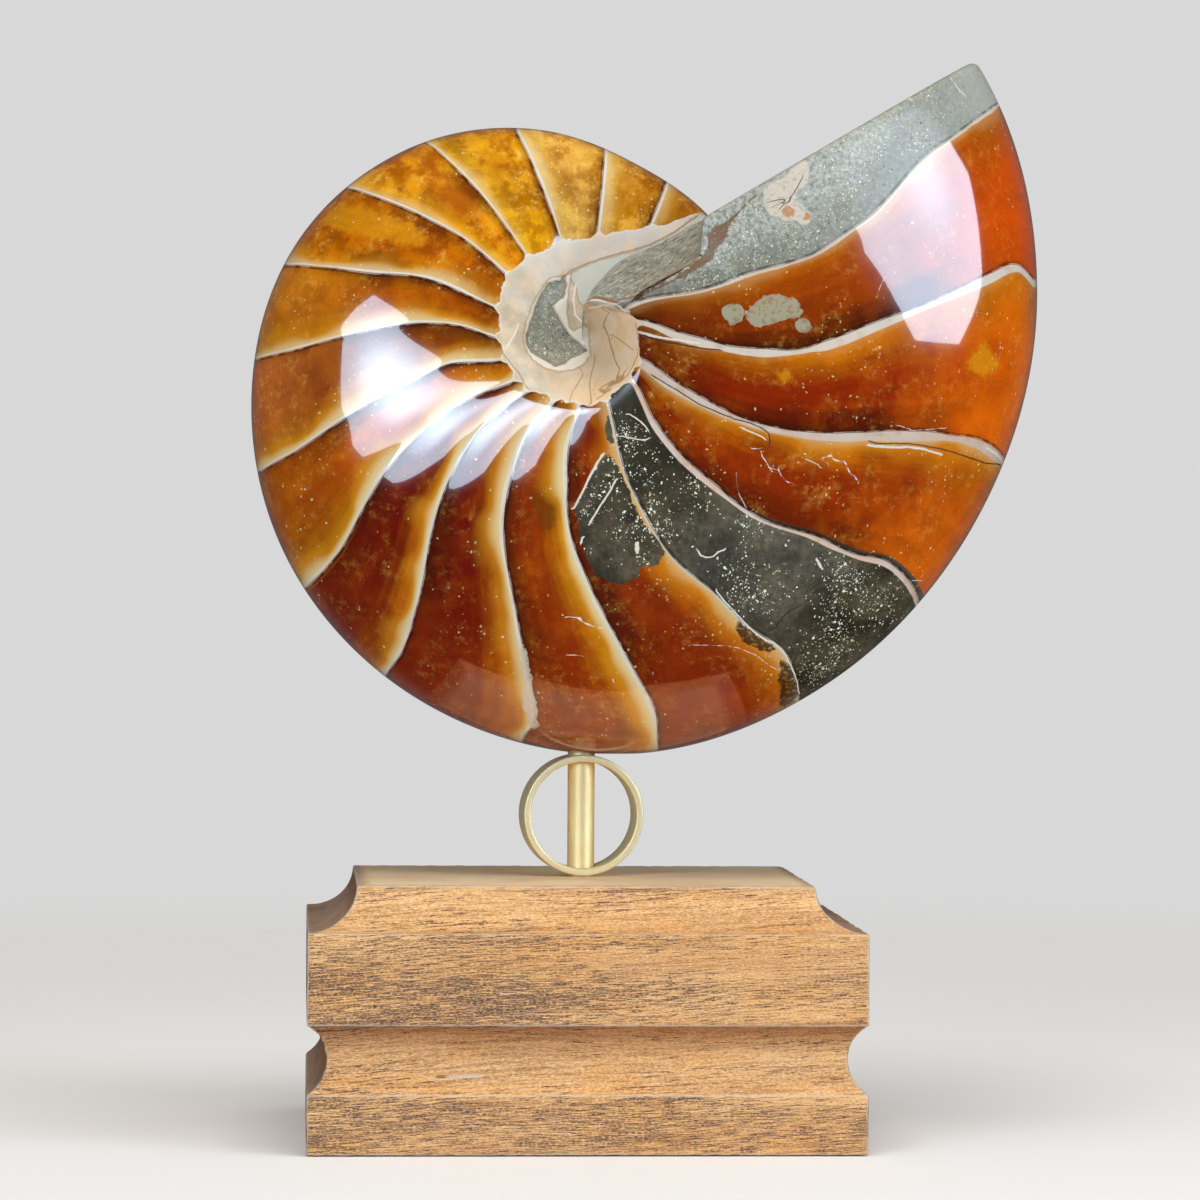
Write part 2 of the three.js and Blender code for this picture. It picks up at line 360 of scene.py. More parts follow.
class Wiring:
    """Puts nodes in one node tree and joins them."""

    def __init__(self, tree: bpy.types.NodeTree) -> None:
        """Keeps the tree that the nodes go into."""
        self.tree = tree

    def feed(self, socket: Socket, value: Feed) -> None:
        """Links an input socket to a signal, or sets its own value.

        Args:
            socket: The input.
            value: What it gets.
        """
        if isinstance(value, Signal):
            self.tree.links.new(value.socket, socket)
        elif socket.type == "RGBA":
            socket.default_value = (*value[:3], 1.0)
        else:
            socket.default_value = value

    def put(self, kind: str, inputs: dict[str | int, Feed] | None = None, **settings: object) -> Outlets:
        """Adds one node.

        Args:
            kind: The node's type.
            inputs: Links and values for its input sockets, by name or number.
            settings: Values for its own properties.

        Returns:
            The node's outputs.
        """
        node = self.tree.nodes.new(kind)
        for key, value in settings.items():
            setattr(node, key, value)
        for key, value in (inputs or {}).items():
            self.feed(node.inputs[key], value)
        return Outlets(self, node)

    def place(self, effect: "Effect", **inputs: Feed) -> Outlets:
        """Adds one shader effect with its own values.

        Args:
            effect: The effect.
            inputs: Links and values by the names of its inputs, in lower case and with underscores.

        Returns:
            The effect's outputs.
        """
        node = self.tree.nodes.new("ShaderNodeGroup")
        node.node_tree = effect.tree()
        for name, value in inputs.items():
            self.feed(node.inputs[name.replace("_", " ").capitalize()], value)
        return Outlets(self, node)

    def math(self, operation: str, first: Feed, second: Feed = 0.0, third: Feed = 0.0) -> Signal:
        """Adds a Math node and returns its result."""
        return self.put("ShaderNodeMath", {0: first, 1: second, 2: third}, operation=operation)[0]

    def larger(self, first: Feed, second: Feed) -> Signal:
        """The larger of two numbers."""
        return self.math("MAXIMUM", first, second)

    def vector(self, operation: str, first: Feed, second: Feed) -> Signal:
        """Adds a Vector Math node and returns its vector."""
        return self.put("ShaderNodeVectorMath", {0: first, 1: second}, operation=operation)[0]

    def length(self, vector: Feed) -> Signal:
        """The length of a vector."""
        return self.put("ShaderNodeVectorMath", {0: vector}, operation="LENGTH")["Value"]

    def parts(self, vector: Feed) -> tuple[Signal, ...]:
        """The three numbers of a vector."""
        split = self.put("ShaderNodeSeparateXYZ", {0: vector})
        return tuple(split[axis] for axis in range(3))

    def joined(self, *numbers: Feed) -> Signal:
        """The vector that up to three numbers make."""
        return self.put("ShaderNodeCombineXYZ", dict(enumerate(numbers)))[0]

    def step(self, value: Feed, low: Feed, high: Feed, start: Feed = 0.0, end: Feed = 1.0) -> Signal:
        """Goes smoothly from start to end as value goes from low to high."""
        inputs = {"Value": value, "From Min": low, "From Max": high, "To Min": start, "To Max": end}
        return self.put("ShaderNodeMapRange", inputs, interpolation_type="SMOOTHSTEP")[0]

    def mix(self, share: Feed, first: Feed, second: Feed, blend: str = "MIX") -> Signal:
        """Mixes two colours, each a signal or a plain colour."""
        settings = {"data_type": "RGBA", "blend_type": blend, "clamp_factor": True}
        return self.put("ShaderNodeMix", {0: share, 6: first, 7: second}, **settings)[2]

    def between(self, share: Feed, first: Feed, second: Feed) -> Signal:
        """Mixes two numbers."""
        return self.put("ShaderNodeMix", {0: share, 2: first, 3: second}, data_type="FLOAT")[0]

    def stairs(self, value: Feed, stops: Sequence[tuple[float, Colour]]) -> Signal:
        """Adds a colour ramp that holds each colour until the next position.

        Args:
            value: What it reads.
            stops: Positions from 0 to 1 and their colours, at most 32 of them.

        Returns:
            The ramp's colour.
        """
        outlets = self.put("ShaderNodeValToRGB", {0: value})
        ramp = outlets.node.color_ramp
        ramp.interpolation = "CONSTANT"
        for index, (position, colour) in enumerate(stops):
            element = ramp.elements[index] if index < 2 else ramp.elements.new(position)
            element.position, element.color = position, (*colour, 1.0)
        return outlets[0]

    def noise(self, vector: Feed, scale: float, detail: float = 2.0, roughness: float = 0.5) -> Signal:
        """Adds noise from 0 to 1 about 0.5."""
        inputs = {"Vector": vector, "Scale": scale, "Detail": detail, "Roughness": roughness}
        return self.put("ShaderNodeTexNoise", inputs)[0]

    def drawn_out(self, vector: Feed, repeats: Colour, detail: float, roughness: float) -> Signal:
        """Noise that repeats its own number of times in a metre along X, Y and Z."""
        return self.noise(self.vector("MULTIPLY", vector, repeats), 1.0, detail, roughness)

    def ripple(self, vector: Feed, scale: float, size: Feed, detail: float = 2.0) -> Signal:
        """Noise about zero that reaches size to either side."""
        return (self.noise(vector, scale, detail) - 0.5) * (size * 2.0)

    def bumps(self, height: Signal, depth: float) -> Signal:
        """A normal from a height from 0 to 1 that stands for depth metres."""
        return self.put("ShaderNodeBump", {"Height": height, "Distance": depth, "Strength": 1.0})[0]

    def surface(self) -> Signal:
        """Places on the object, in metres."""
        return self.put("ShaderNodeTexCoord")["Object"]

    def kept(self, name: str) -> Outlets:
        """What store() kept on the mesh under a name."""
        return self.put("ShaderNodeAttribute", attribute_name=name, attribute_type="GEOMETRY")

    def value(self, name: str) -> Signal:
        """The number that store() kept under a name."""
        return self.kept(name)["Fac"]

    def rows(self, name: str) -> Signal:
        """The three numbers that store() kept under a name."""
        return self.kept(name)["Vector"]


@dataclass(frozen=True)
class Effect:
    """A shader effect that finishes place with values of their own, built once."""

    name: str
    wire: Callable[[Wiring, Outlets], Made]
    outputs: tuple[str, ...]
    vectors: tuple[str, ...]  # the inputs that are vectors
    numbers: dict[str, float]  # the inputs that are numbers, and their usual values

    def tree(self) -> bpy.types.NodeTree:
        """The effect's node group, made the first time that it is asked for.

        Returns:
            The group.
        """
        known = bpy.data.node_groups.get(self.name)
        if known:
            return known
        tree = bpy.data.node_groups.new(self.name, "ShaderNodeTree")
        add = tree.interface.new_socket
        for name in self.vectors:
            add(name, in_out="INPUT", socket_type="NodeSocketVector")
        for name, usual in self.numbers.items():
            add(name, in_out="INPUT", socket_type="NodeSocketFloat").default_value = usual
        for name in self.outputs:
            add(name, in_out="OUTPUT", socket_type="NodeSocketFloat")
        wiring = Wiring(tree)
        wiring.put("NodeGroupOutput", self.wire(wiring, wiring.put("NodeGroupInput")))
        return tree


def wire_clouds(w: Wiring, given: Outlets) -> Made:
    """Soft clouds with finer curds in them, and a fine grain over everything.

    Args:
        w: The group's tree.
        given: Its inputs: the place and how many clouds there are in a metre.

    Returns:
        Its outputs.
    """
    near = w.put("ShaderNodeVectorMath", {0: given["At"], "Scale": given["Size"]}, operation="SCALE")[0]
    drift, curds = w.noise(near, 1.0, 4.0, 0.62), w.noise(near, 2.6, 4.0, 0.75)
    gathered = w.step(curds, 0.47, 0.78) * w.step(w.noise(near, 0.62, 1.0), 0.42, 0.62)
    return {"Cloud": w.step(drift, 0.36, 0.66), "Curd": gathered, "Grain": w.noise(near, 13.0, 2.0, 0.65)}


def wire_grains(w: Wiring, given: Outlets) -> Made:
    """Small broken grains, scattered where the density lets them.

    Args:
        w: The group's tree.
        given: Its inputs: the place, cells in a metre, and the share of them that has a grain.

    Returns:
        Its outputs: a mask, and a number of its own for each cell.
    """
    torn = w.put("ShaderNodeTexNoise", {"Vector": given["At"], "Scale": 2.0 * FINE, "Detail": 1.0})[1]
    shift = {0: torn, 1: (0.0005, 0.0005, 0.0005), 2: given["At"]}
    bent = w.put("ShaderNodeVectorMath", shift, operation="MULTIPLY_ADD")[0]
    cells = w.put("ShaderNodeTexVoronoi", {"Vector": bent, "Scale": given["Cells"]}, feature="F1")
    chance = w.put("ShaderNodeSeparateColor", {0: cells["Color"]})
    size = chance[1] * 0.3
    dot = w.step(cells["Distance"], size + 0.16, size + 0.06)
    return {"Mask": dot * (chance[0] < given["Density"]), "Chance": chance[2]}


def wire_stroke(w: Wiring, given: Outlets) -> Made:
    """A thin line along a stroke that was kept on the mesh as offset, weight and width.

    Args:
        w: The group's tree.
        given: Its inputs: the place, the stroke, and how far the line shakes in millimetres.

    Returns:
        Its output, a mask.
    """
    offset, weight, width = w.parts(given["Stroke"])
    across = abs(offset + w.ripple(given["At"], RAGGED, given["Shake"]))
    fine = w.noise(given["At"], FINE)
    half = width * 0.5 * w.between(fine, 0.25, 1.5)
    there = w.step(weight + (fine - 0.5) * 0.5, 0.35, 0.6)
    return {"Mask": w.step(across, half + 0.06, half * 0.4) * there}


def wire_patch(w: Wiring, given: Outlets) -> Made:
    """A ragged patch from a distance to its outline, and the rim along it.

    Args:
        w: The group's tree.
        given: Its inputs: the place, and in millimetres the distance, how far it is made ragged,
            the width of the soft border and that of the rim.

    Returns:
        Its outputs, two masks.
    """
    ragged, soft, rim = given["Ragged"], given["Soft"], given["Rim width"]
    shaken = given["Edge"] + w.ripple(given["At"], RAGGED, ragged)
    shaken = shaken + w.ripple(given["At"], FINE, ragged * 0.6)
    return {"Mask": w.step(shaken, soft * 0.5, soft * -0.5), "Rim": w.step(abs(shaken), rim, rim * 0.4)}


def wire_wear(w: Wiring, given: Outlets) -> Made:
    """Rubbed places along edges, where the mesh says that an edge is near.

    Args:
        w: The group's tree.
        given: Its inputs: the place, how near an edge it is, and how unevenly the edge is rubbed.

    Returns:
        Its output, a mask.
    """
    broken = w.noise(given["At"], 520.0, 4.0, 0.6)
    return {"Mask": w.step(given["Edge"] + (broken - 0.5) * given["Broken"], 0.45, 0.85)}


def wire_dust(w: Wiring, given: Outlets) -> Made:
    """A faint uneven film, and specks of dust.

    Args:
        w: The group's tree.
        given: Its inputs: the place, and the share of the cells that has a speck.

    Returns:
        Its outputs, two masks.
    """
    film = w.noise(given["At"], 34.0, 3.0, 0.6)
    specks = w.put("ShaderNodeTexVoronoi", {"Vector": given["At"], "Scale": 1500.0}, feature="F1")
    chance = w.put("ShaderNodeSeparateColor", {0: specks["Color"]})
    dot = w.step(specks["Distance"], 0.2, 0.1) * (chance[0] < given["Specks"])
    return {"Film": w.step(film, 0.35, 0.75), "Specks": dot}


CLOUDS = Effect("clouds", wire_clouds, ("Cloud", "Curd", "Grain"), ("At",), {"Size": 200.0})
GRAINS = Effect("grains", wire_grains, ("Mask", "Chance"), ("At",), {"Cells": 1500.0, "Density": 0.1})
STROKE = Effect("stroke", wire_stroke, ("Mask",), ("At", "Stroke"), {"Shake": 0.1})
PATCH_SIZES = {"Edge": 1.0, "Ragged": 0.3, "Soft": 0.15, "Rim width": 0.3}
PATCH = Effect("patch", wire_patch, ("Mask", "Rim"), ("At",), PATCH_SIZES)
WEAR = Effect("edge wear", wire_wear, ("Mask",), ("At",), {"Edge": 0.0, "Broken": 0.8})
DUST = Effect("dust", wire_dust, ("Film", "Specks"), ("At",), {"Specks": 0.05})


@dataclass(frozen=True)
class Finish:
    """What every finish shares: a named material around one Principled shader."""

    name: str
    ior: float = 1.5
    coat: float = 0.0
    coat_roughness: float = 0.03
    coat_ior: float = 1.5

    def material(self) -> bpy.types.Material:
        """The finish as a material, made the first time that it is asked for.

        Returns:
            The material.
        """
        known = bpy.data.materials.get(self.name)
        if known:
            return known
        material = bpy.data.materials.new(self.name)
        material.use_nodes = True
        material.node_tree.nodes.clear()
        w = Wiring(material.node_tree)
        coat = {"Coat Weight": self.coat, "Coat Roughness": self.coat_roughness, "Coat IOR": self.coat_ior}
        shader = w.put("ShaderNodeBsdfPrincipled", {"IOR": self.ior, **coat, **self.inputs(w)})
        w.put("ShaderNodeOutputMaterial", {0: shader[0]})
        return material

    def inputs(self, w: Wiring) -> Made:
        """What the shader's inputs get; each finish has its own."""
        raise NotImplementedError


# ---------------------------------------------------------------- the shell's finishes

LIGHT_LEVEL = 1.2  # how much brighter than its reflectance a face turned to the viewer looks


def shade(red: float, green: float, blue: float) -> Colour:
    """Linear reflectance of what looks like this screen colour in the studio's light."""
    return tuple(((part / 255.0) ** 2.2) / LIGHT_LEVEL for part in (red, green, blue))


@dataclass(frozen=True)
class ChamberTone:
    """The calcite of one chamber, from the septum behind it to the one ahead."""

    deep: Colour
    body: Colour
    outer: Colour
    glow: Colour
    cloudy: float


# One row per chamber, from the notch round the coil to the cut end: screen colours, then cloudiness.
CHAMBERS: tuple[ChamberTone, ...] = tuple(
    ChamberTone(*(shade(*screen) for screen in screens), cloudy)
    for *screens, cloudy in (
        ((150, 85, 10), (188, 112, 18), (190, 112, 18), (215, 150, 50), 0.6),
        ((160, 84, 8), (238, 150, 14), (222, 134, 14), (250, 198, 92), 0.8),
        ((196, 118, 20), (262, 194, 84), (246, 162, 46), (255, 206, 100), 1.0),
        ((178, 92, 2), (262, 172, 2), (240, 142, 2), (255, 192, 36), 1.0),
        ((116, 50, 2), (224, 118, 1), (218, 116, 2), (252, 174, 28), 1.0),
        ((112, 48, 2), (198, 94, 2), (200, 104, 4), (218, 126, 8), 0.9),
        ((110, 48, 12), (178, 80, 4), (230, 132, 28), (212, 130, 16), 0.5),
        ((98, 44, 14), (138, 60, 6), (204, 104, 44), (204, 122, 20), 0.35),
        ((105, 38, 6), (208, 94, 2), (174, 80, 14), (218, 142, 12), 0.3),
        ((80, 14, 1), (116, 18, 0), (132, 34, 1), (204, 108, 4), 0.18),
        ((78, 12, 1), (116, 18, 0), (146, 44, 1), (202, 104, 4), 0.18),
        ((98, 28, 2), (160, 56, 2), (158, 50, 1), (218, 132, 4), 0.28),
        ((96, 30, 4), (146, 46, 1), (152, 44, 0), (206, 104, 3), 0.2),
        ((60, 56, 42), (97, 92, 78), (95, 90, 76), (90, 84, 66), 0.0),
        ((106, 30, 1), (158, 48, 1), (228, 100, 1), (214, 116, 8), 0.3),
        ((84, 20, 1), (158, 43, 0), (252, 108, 1), (214, 114, 4), 0.25),
        ((70, 26, 6), (154, 58, 1), (230, 84, 0), (190, 86, 4), 0.2),
        ((130, 134, 124), (140, 144, 134), (150, 153, 144), (140, 144, 134), 0.0),
    )
)
FILLED_CHAMBER = 13  # filled with grey matrix on its whole length
LAST_SEPTUM = 17
CHAMBER_SPAN = 20.0  # the chamber coordinate is divided by this to be read by a ramp

CREAM, PINK_BEIGE = shade(238, 222, 198), shade(222, 186, 160)
USUAL_SEPTUM = 0.2  # half width in millimetres
WIDE_SEPTA = {9: 0.28, 10: 0.34, 11: 0.32, 12: 0.3, 13: 0.18, 14: 0.36, 15: 0.72, 16: 0.6, 17: 0.22}
SEPTUM_COLOURS = {
    13: shade(205, 196, 170), 14: PINK_BEIGE, 15: shade(214, 184, 160), 16: shade(228, 208, 184),
    17: shade(226, 190, 156),
}
USUAL_HALO = 0.6  # how strongly the calcite pales ahead of a septum
HALOS = {
    1: 0.5, 4: 0.5, 5: 0.45, 7: 0.65, 8: 0.8, 9: 0.95, 10: 0.95, 11: 0.85, 12: 1.0, 13: 0.55, 14: 0.0,
    15: 0.45, 16: 0.12, 17: 0.2,
}


@dataclass(frozen=True)
class MatrixStone:
    """The grey mudstone that fills the broken chambers, with pale grains and pyrite."""

    dark: Colour = shade(50, 43, 26)
    mid: Colour = shade(98, 86, 64)
    pale: Colour = shade(155, 152, 137)
    grain: Colour = shade(246, 246, 226)
    pyrite: Colour = shade(214, 200, 140)
    hole: Colour = shade(44, 42, 34)

    def wire(self, w: Wiring, at: Signal, paleness: Feed, density: Feed) -> tuple[Signal, Signal]:
        """Adds the stone's nodes.

        Args:
            w: The tree that they go into.
            at: Places on the surface, in metres.
            paleness: From 0, the dark olive stone, to 1, the pale blue-grey one; darkest below 0.
            density: How many grains there are, from 0 to 1.

        Returns:
            The stone's colour, and a mask of its grains.
        """
        dark = w.mix(w.place(CLOUDS, at=at, size=WAVY)["Cloud"], self.dark, self.mid)
        stone = w.mix(paleness + w.ripple(at, LOOSE, 0.16, 3.0), dark, self.pale)
        stone = w.mix(w.step(paleness, -0.02, -0.3, 0.0, 0.75), stone, self.dark)
        mottling = w.step(w.noise(at, 900.0, 3.0, 0.7), 0.36, 0.6, 0.45, 0.0)
        stone = w.mix(mottling * w.step(paleness, 0.3, 0.8, 1.0, 0.55), stone, self.dark)
        salt = w.step(w.noise(at, FINE), 0.55, 0.75) * w.step(paleness, 0.0, 0.6, 0.08, 0.35)
        stone = w.mix(salt * w.step(density, 0.2, 0.6, 0.35, 0.8), stone, self.grain)
        crowd = density * w.step(paleness, 0.2, 0.7, 1.3, 2.3)
        fine = w.place(GRAINS, at=at, cells=2500.0, density=crowd)
        few = density * w.step(paleness, 0.2, 0.7, 0.65, 0.12)
        grains = w.larger(fine["Mask"], w.place(GRAINS, at=at, cells=1350.0, density=few)["Mask"])
        chance = fine["Chance"]
        stone = w.mix(fine["Mask"] * (chance > 0.8), stone, self.hole)
        golden = chance + w.step(paleness, 0.2, 0.7, 0.0, 0.36)
        tint = w.mix(w.step(golden, 0.45, 0.6), self.grain, self.pyrite)
        return w.mix(grains * w.step(chance, 0.82, 0.78, 0.0, 1.0), stone, tint), grains


@dataclass(frozen=True)
class Spot:
    """Where a place on the flank is among the chambers; what most of its layers read."""

    at: Signal  # in metres
    chamber: Signal  # the chamber coordinate
    part: Signal  # how far through its chamber it is
    nearest: Signal  # the number of the nearest septum
    ahead: Signal  # millimetres to the septum ahead
    behind: Signal  # and to the one behind
    clouds: Outlets


@dataclass(frozen=True)
class PolishedShell(Finish):
    """The polished flank: amber chambers, cream septa, grey fills and the nacre about the middle."""

    halo: Colour = shade(240, 214, 152)
    glow: Colour = shade(228, 150, 34)
    amber_cloud: Colour = shade(252, 194, 84)
    red_shadow: Colour = shade(74, 26, 8)
    brown_shadow: Colour = shade(122, 58, 8)
    nacre_cream: Colour = shade(196, 174, 144)
    nacre_tan: Colour = shade(246, 200, 150)
    nacre_pink: Colour = shade(220, 204, 190)
    nacre_grey: Colour = shade(206, 204, 190)
    vein: Colour = shade(240, 228, 206)
    seam: Colour = shade(160, 112, 56)
    crack: Colour = shade(52, 26, 14)
    scratch: Colour = shade(240, 220, 200)
    bloom: Colour = shade(172, 166, 134)
    flake: Colour = shade(216, 196, 172)
    burnt: Colour = shade(52, 34, 14)
    strip: Colour = shade(118, 72, 26)
    ochre: Colour = shade(190, 120, 50)
    amber_patch: Colour = shade(226, 148, 24)
    brown_patch: Colour = shade(112, 60, 16)
    matrix: MatrixStone = MatrixStone()

    def by_chamber(self, w: Wiring, chamber: Signal, values: Sequence[Colour | float]) -> Signal:
        """Holds one colour or number on each chamber.

        Args:
            w: The tree.
            chamber: The chamber coordinate.
            values: The chambers' colours or numbers.

        Returns:
            The colour or number.
        """
        colours = [value if isinstance(value, tuple) else (value,) * 3 for value in values]
        stops = [(index / CHAMBER_SPAN, colour) for index, colour in enumerate(colours)]
        return w.stairs(chamber / CHAMBER_SPAN, stops)

    def by_septum(self, w: Wiring, nearest: Signal, values: dict[int, Feed], usual: Feed) -> Signal:
        """Holds one colour or number on each septum.

        Args:
            w: The tree.
            nearest: The number of the nearest septum.
            values: The colours or numbers of the septa that differ.
            usual: That of the others.

        Returns:
            The colour or number.
        """
        stops = []
        for index in range(LAST_SEPTUM + 1):
            value = values.get(index, usual)
            colour = value if isinstance(value, tuple) else (value,) * 3
            stops.append((max(0.0, index - 0.5) / CHAMBER_SPAN, colour))
        return w.stairs(nearest / CHAMBER_SPAN, stops)

    def inputs(self, w: Wiring) -> Made:
        """Wires the polished surface.

        Args:
            w: The material's tree.

        Returns:
            What the shader's inputs get.
        """
        at = w.surface()
        chamber = w.value("chamber") + w.ripple(at, 60.0, 0.02) + w.ripple(at, RAGGED, 0.005)
        pitch, part, nearest = w.value("pitch"), w.math("FRACT", chamber), w.math("FLOOR", chamber + 0.5)
        clouds = w.place(CLOUDS, at=at, size=230.0)
        spot = Spot(at, chamber, part, nearest, (1.0 - part) * pitch, part * pitch, clouds)
        colour = self.halos(w, spot, self.calcite(w, spot))
        density = w.step(w.noise(at, BROAD, 1.0), 0.45, 0.7, 0.008, 0.26)
        density = density + w.step(chamber, 3.6, 2.4, 0.0, 0.16) + w.value("grains") * 0.3
        flecks = w.place(GRAINS, at=at, cells=1500.0, density=density)
        colour = w.mix(flecks["Mask"] * w.between(flecks["Chance"], 0.1, 0.75), colour, self.halo)
        colour, filled = self.fills(w, spot, colour)
        colour = self.septa(w, spot, colour, (chamber - nearest) * pitch)
        colour, nacre = self.umbilicus(w, spot, colour)
        colour, broken = self.marks(w, at, colour)
        coat = w.step(nacre + filled * 0.85 + broken * 0.8, 0.0, 1.0, 1.0, 0.05)
        soft = w.larger(filled * 0.26, nacre * 0.3)
        gloss = soft + w.place(DUST, at=at, specks=0.0)["Film"] * 0.05 + broken * 0.3 + 0.09
        height = 0.7 - broken * 0.55 + clouds["Grain"] * 0.02
        normal = w.bumps(height, 0.00012)
        return {"Base Color": colour, "Coat Weight": coat, "Roughness": gloss, "Normal": normal}

    def calcite(self, w: Wiring, spot: Spot) -> Signal:
        """Colours the inside of the chambers, without septa or fills.

        Args:
            w: The tree.
            spot: Where each place is.

        Returns:
            The colour.
        """
        at, chamber, clouds = spot.at, spot.chamber, spot.clouds
        share = w.value("share") + w.ripple(at, WAVY, 0.1, 3.0)
        deep, body, outer, glow, cloudy = (
            self.by_chamber(w, chamber, [getattr(tone, part) for tone in CHAMBERS])
            for part in ("deep", "body", "outer", "glow", "cloudy")
        )
        streaks = w.noise(w.joined(chamber * 7.0, share * 2.5), 1.0, 4.0, 0.65)
        uneven = spot.part + w.ripple(at, WAVY, 0.16, 3.0) + (streaks - 0.5) * 0.4
        colour = w.mix(w.step(uneven, 0.02, 0.42), deep, body)
        colour = w.mix(w.step(share, 0.66, 0.96), colour, outer)
        colour = w.mix(w.math("POWER", w.step(uneven, 0.5, 1.02), 1.3), colour, glow)
        # Painted shade: the calcite darkens towards the umbilicus's hollow, red-brown on the middle chambers
        # and in each chamber's deep tone from the fourteenth on.
        inner = w.step(w.value("nacre"), 9.0, 0.5, 0.0, 0.4)
        colour = w.mix(inner * w.step(chamber, 5.0, 7.0), colour, self.red_shadow)
        far = w.step(w.value("nacre"), 26.0, 2.0, 0.0, 0.6)
        colour = w.mix(far * w.step(chamber, 13.9, 14.1), colour, deep)
        wide = w.place(CLOUDS, at=at, size=85.0)["Cloud"]
        shadow = w.mix(cloudy, self.red_shadow, self.brown_shadow)
        colour = w.mix((1.0 - wide) * 0.34 * (cloudy + 0.5), colour, shadow)
        colour = w.mix(wide * clouds["Cloud"] * (cloudy + 0.15) * 0.55, colour, glow)
        colour = w.mix(w.step(clouds["Cloud"], 0.6, 0.0) * (cloudy * 0.42), colour, shadow)
        colour = w.mix(clouds["Curd"] * (cloudy * 0.9 + 0.06), colour, self.amber_cloud)
        for name, tint in (("amber_patch", self.amber_patch), ("brown_patch", self.brown_patch)):
            patch = w.place(PATCH, at=at, edge=w.value(name), ragged=1.4, soft=1.6)
            colour = w.mix(patch["Mask"] * 0.65, colour, tint)
        grain = w.step(clouds["Grain"] * 0.5 + streaks * 0.5, 0.3, 0.7, 0.84, 1.14)
        grey = w.put("ShaderNodeCombineColor", dict.fromkeys(range(3), grain))[0]
        return w.mix(1.0, colour, grey, "MULTIPLY")

    def halos(self, w: Wiring, spot: Spot, colour: Signal) -> Signal:
        """Pales the calcite ahead of each septum and darkens it behind.

        Args:
            w: The tree.
            spot: Where each place is.
            colour: The calcite's colour.

        Returns:
            The colour with the halos.
        """
        drift = w.noise(spot.at, BROAD, 1.0)
        close = spot.ahead / w.step(drift, 0.32, 0.68, 0.55, 1.5)
        strength = self.by_septum(w, spot.nearest, HALOS, USUAL_HALO)
        strength = strength * w.step(w.value("nacre"), 0.0, 14.0, 0.6, 1.0)
        colour = w.mix(w.step(close, 4.6, 0.4, 0.0, 0.9) * strength, colour, self.glow)
        colour = w.mix(w.step(close, 2.1, 0.2, 0.0, 0.95) * strength, colour, self.halo)
        faint = w.step(drift, 0.3, 0.7, 0.25, 0.6)
        return w.mix(w.step(spot.behind, 2.2, 0.4) * faint, colour, self.red_shadow)

    def septa(self, w: Wiring, spot: Spot, colour: Signal, offset: Signal) -> Signal:
        """Draws the septa: a pale line as wide as each is, then a faint second line and a dark one.

        Args:
            w: The tree.
            spot: Where each place is.
            colour: What they are drawn on.
            offset: Millimetres past the nearest septum, below zero ahead of it.

        Returns:
            The colour with the septa.
        """
        at, broken = spot.at, w.noise(spot.at, RAGGED)
        half = self.by_septum(w, spot.nearest, WIDE_SEPTA, USUAL_SEPTUM)
        half = half * w.step(w.noise(at, BROAD, 1.0), 0.3, 0.7, 0.65, 1.4)
        past = offset - half
        dark = w.step(abs(past - 0.42), 0.34, 0.02, 0.0, 0.75)
        colour = w.mix(dark * w.step(broken, 0.62, 0.4, 0.3, 1.0), colour, self.crack)
        second = w.step(abs(past - 0.2), 0.13, 0.03, 0.0, 0.6)
        colour = w.mix(second * w.step(broken, 0.4, 0.6), colour, self.nacre_pink)
        tint = self.by_septum(w, spot.nearest, SEPTUM_COLOURS, CREAM)
        tint = w.mix(w.step(w.noise(at, LOOSE, 3.0), 0.4, 0.65, 0.0, 0.55), tint, self.nacre_pink)
        line = w.step(abs(offset), half + 0.12, half - 0.1)
        return w.mix(line * w.step(broken, 0.3, 0.5, 0.8, 1.0), colour, tint)

    def fills(self, w: Wiring, spot: Spot, colour: Signal) -> tuple[Signal, Signal]:
        """Lays the grey fills over the calcite.

        Args:
            w: The tree.
            spot: Where each place is.
            colour: The colour of the calcite.

        Returns:
            The colour with the fills and a mask of the fills.
        """
        at, chamber, share = spot.at, spot.chamber, w.value("share")
        here = w.math("COMPARE", w.math("FLOOR", chamber), float(FILLED_CHAMBER), 0.1)
        end = chamber > float(LAST_SEPTUM)
        patch = w.place(PATCH, at=at, edge=w.value("grey_patch"), ragged=0.7, soft=0.2)
        filled = w.larger(w.larger(here, end), patch["Mask"])
        density = w.value("grains") * w.step(w.noise(at, LOOSE, 3.0), 0.35, 0.65, 0.3, 1.4)
        inward = w.step(share, 0.3, 0.56, -0.3, 0.14) - w.step(share, 0.7, 0.95, 0.0, 0.2)
        paleness = end * w.step(share, 0.2, 0.7, 0.6, 0.95) + inward * here
        stone, _ = self.matrix.wire(w, at, paleness, density)
        by_end = w.step(chamber, LAST_SEPTUM + 0.2, LAST_SEPTUM + 0.55, 0.0, 0.5)
        sawn = by_end * w.step(w.noise(at, FINE), 0.3, 0.6)
        tip = end * w.step(share, 0.84, 0.97, 0.0, 0.35)
        return w.mix(filled, colour, w.mix(w.larger(sawn, tip), stone, self.nacre_grey)), filled

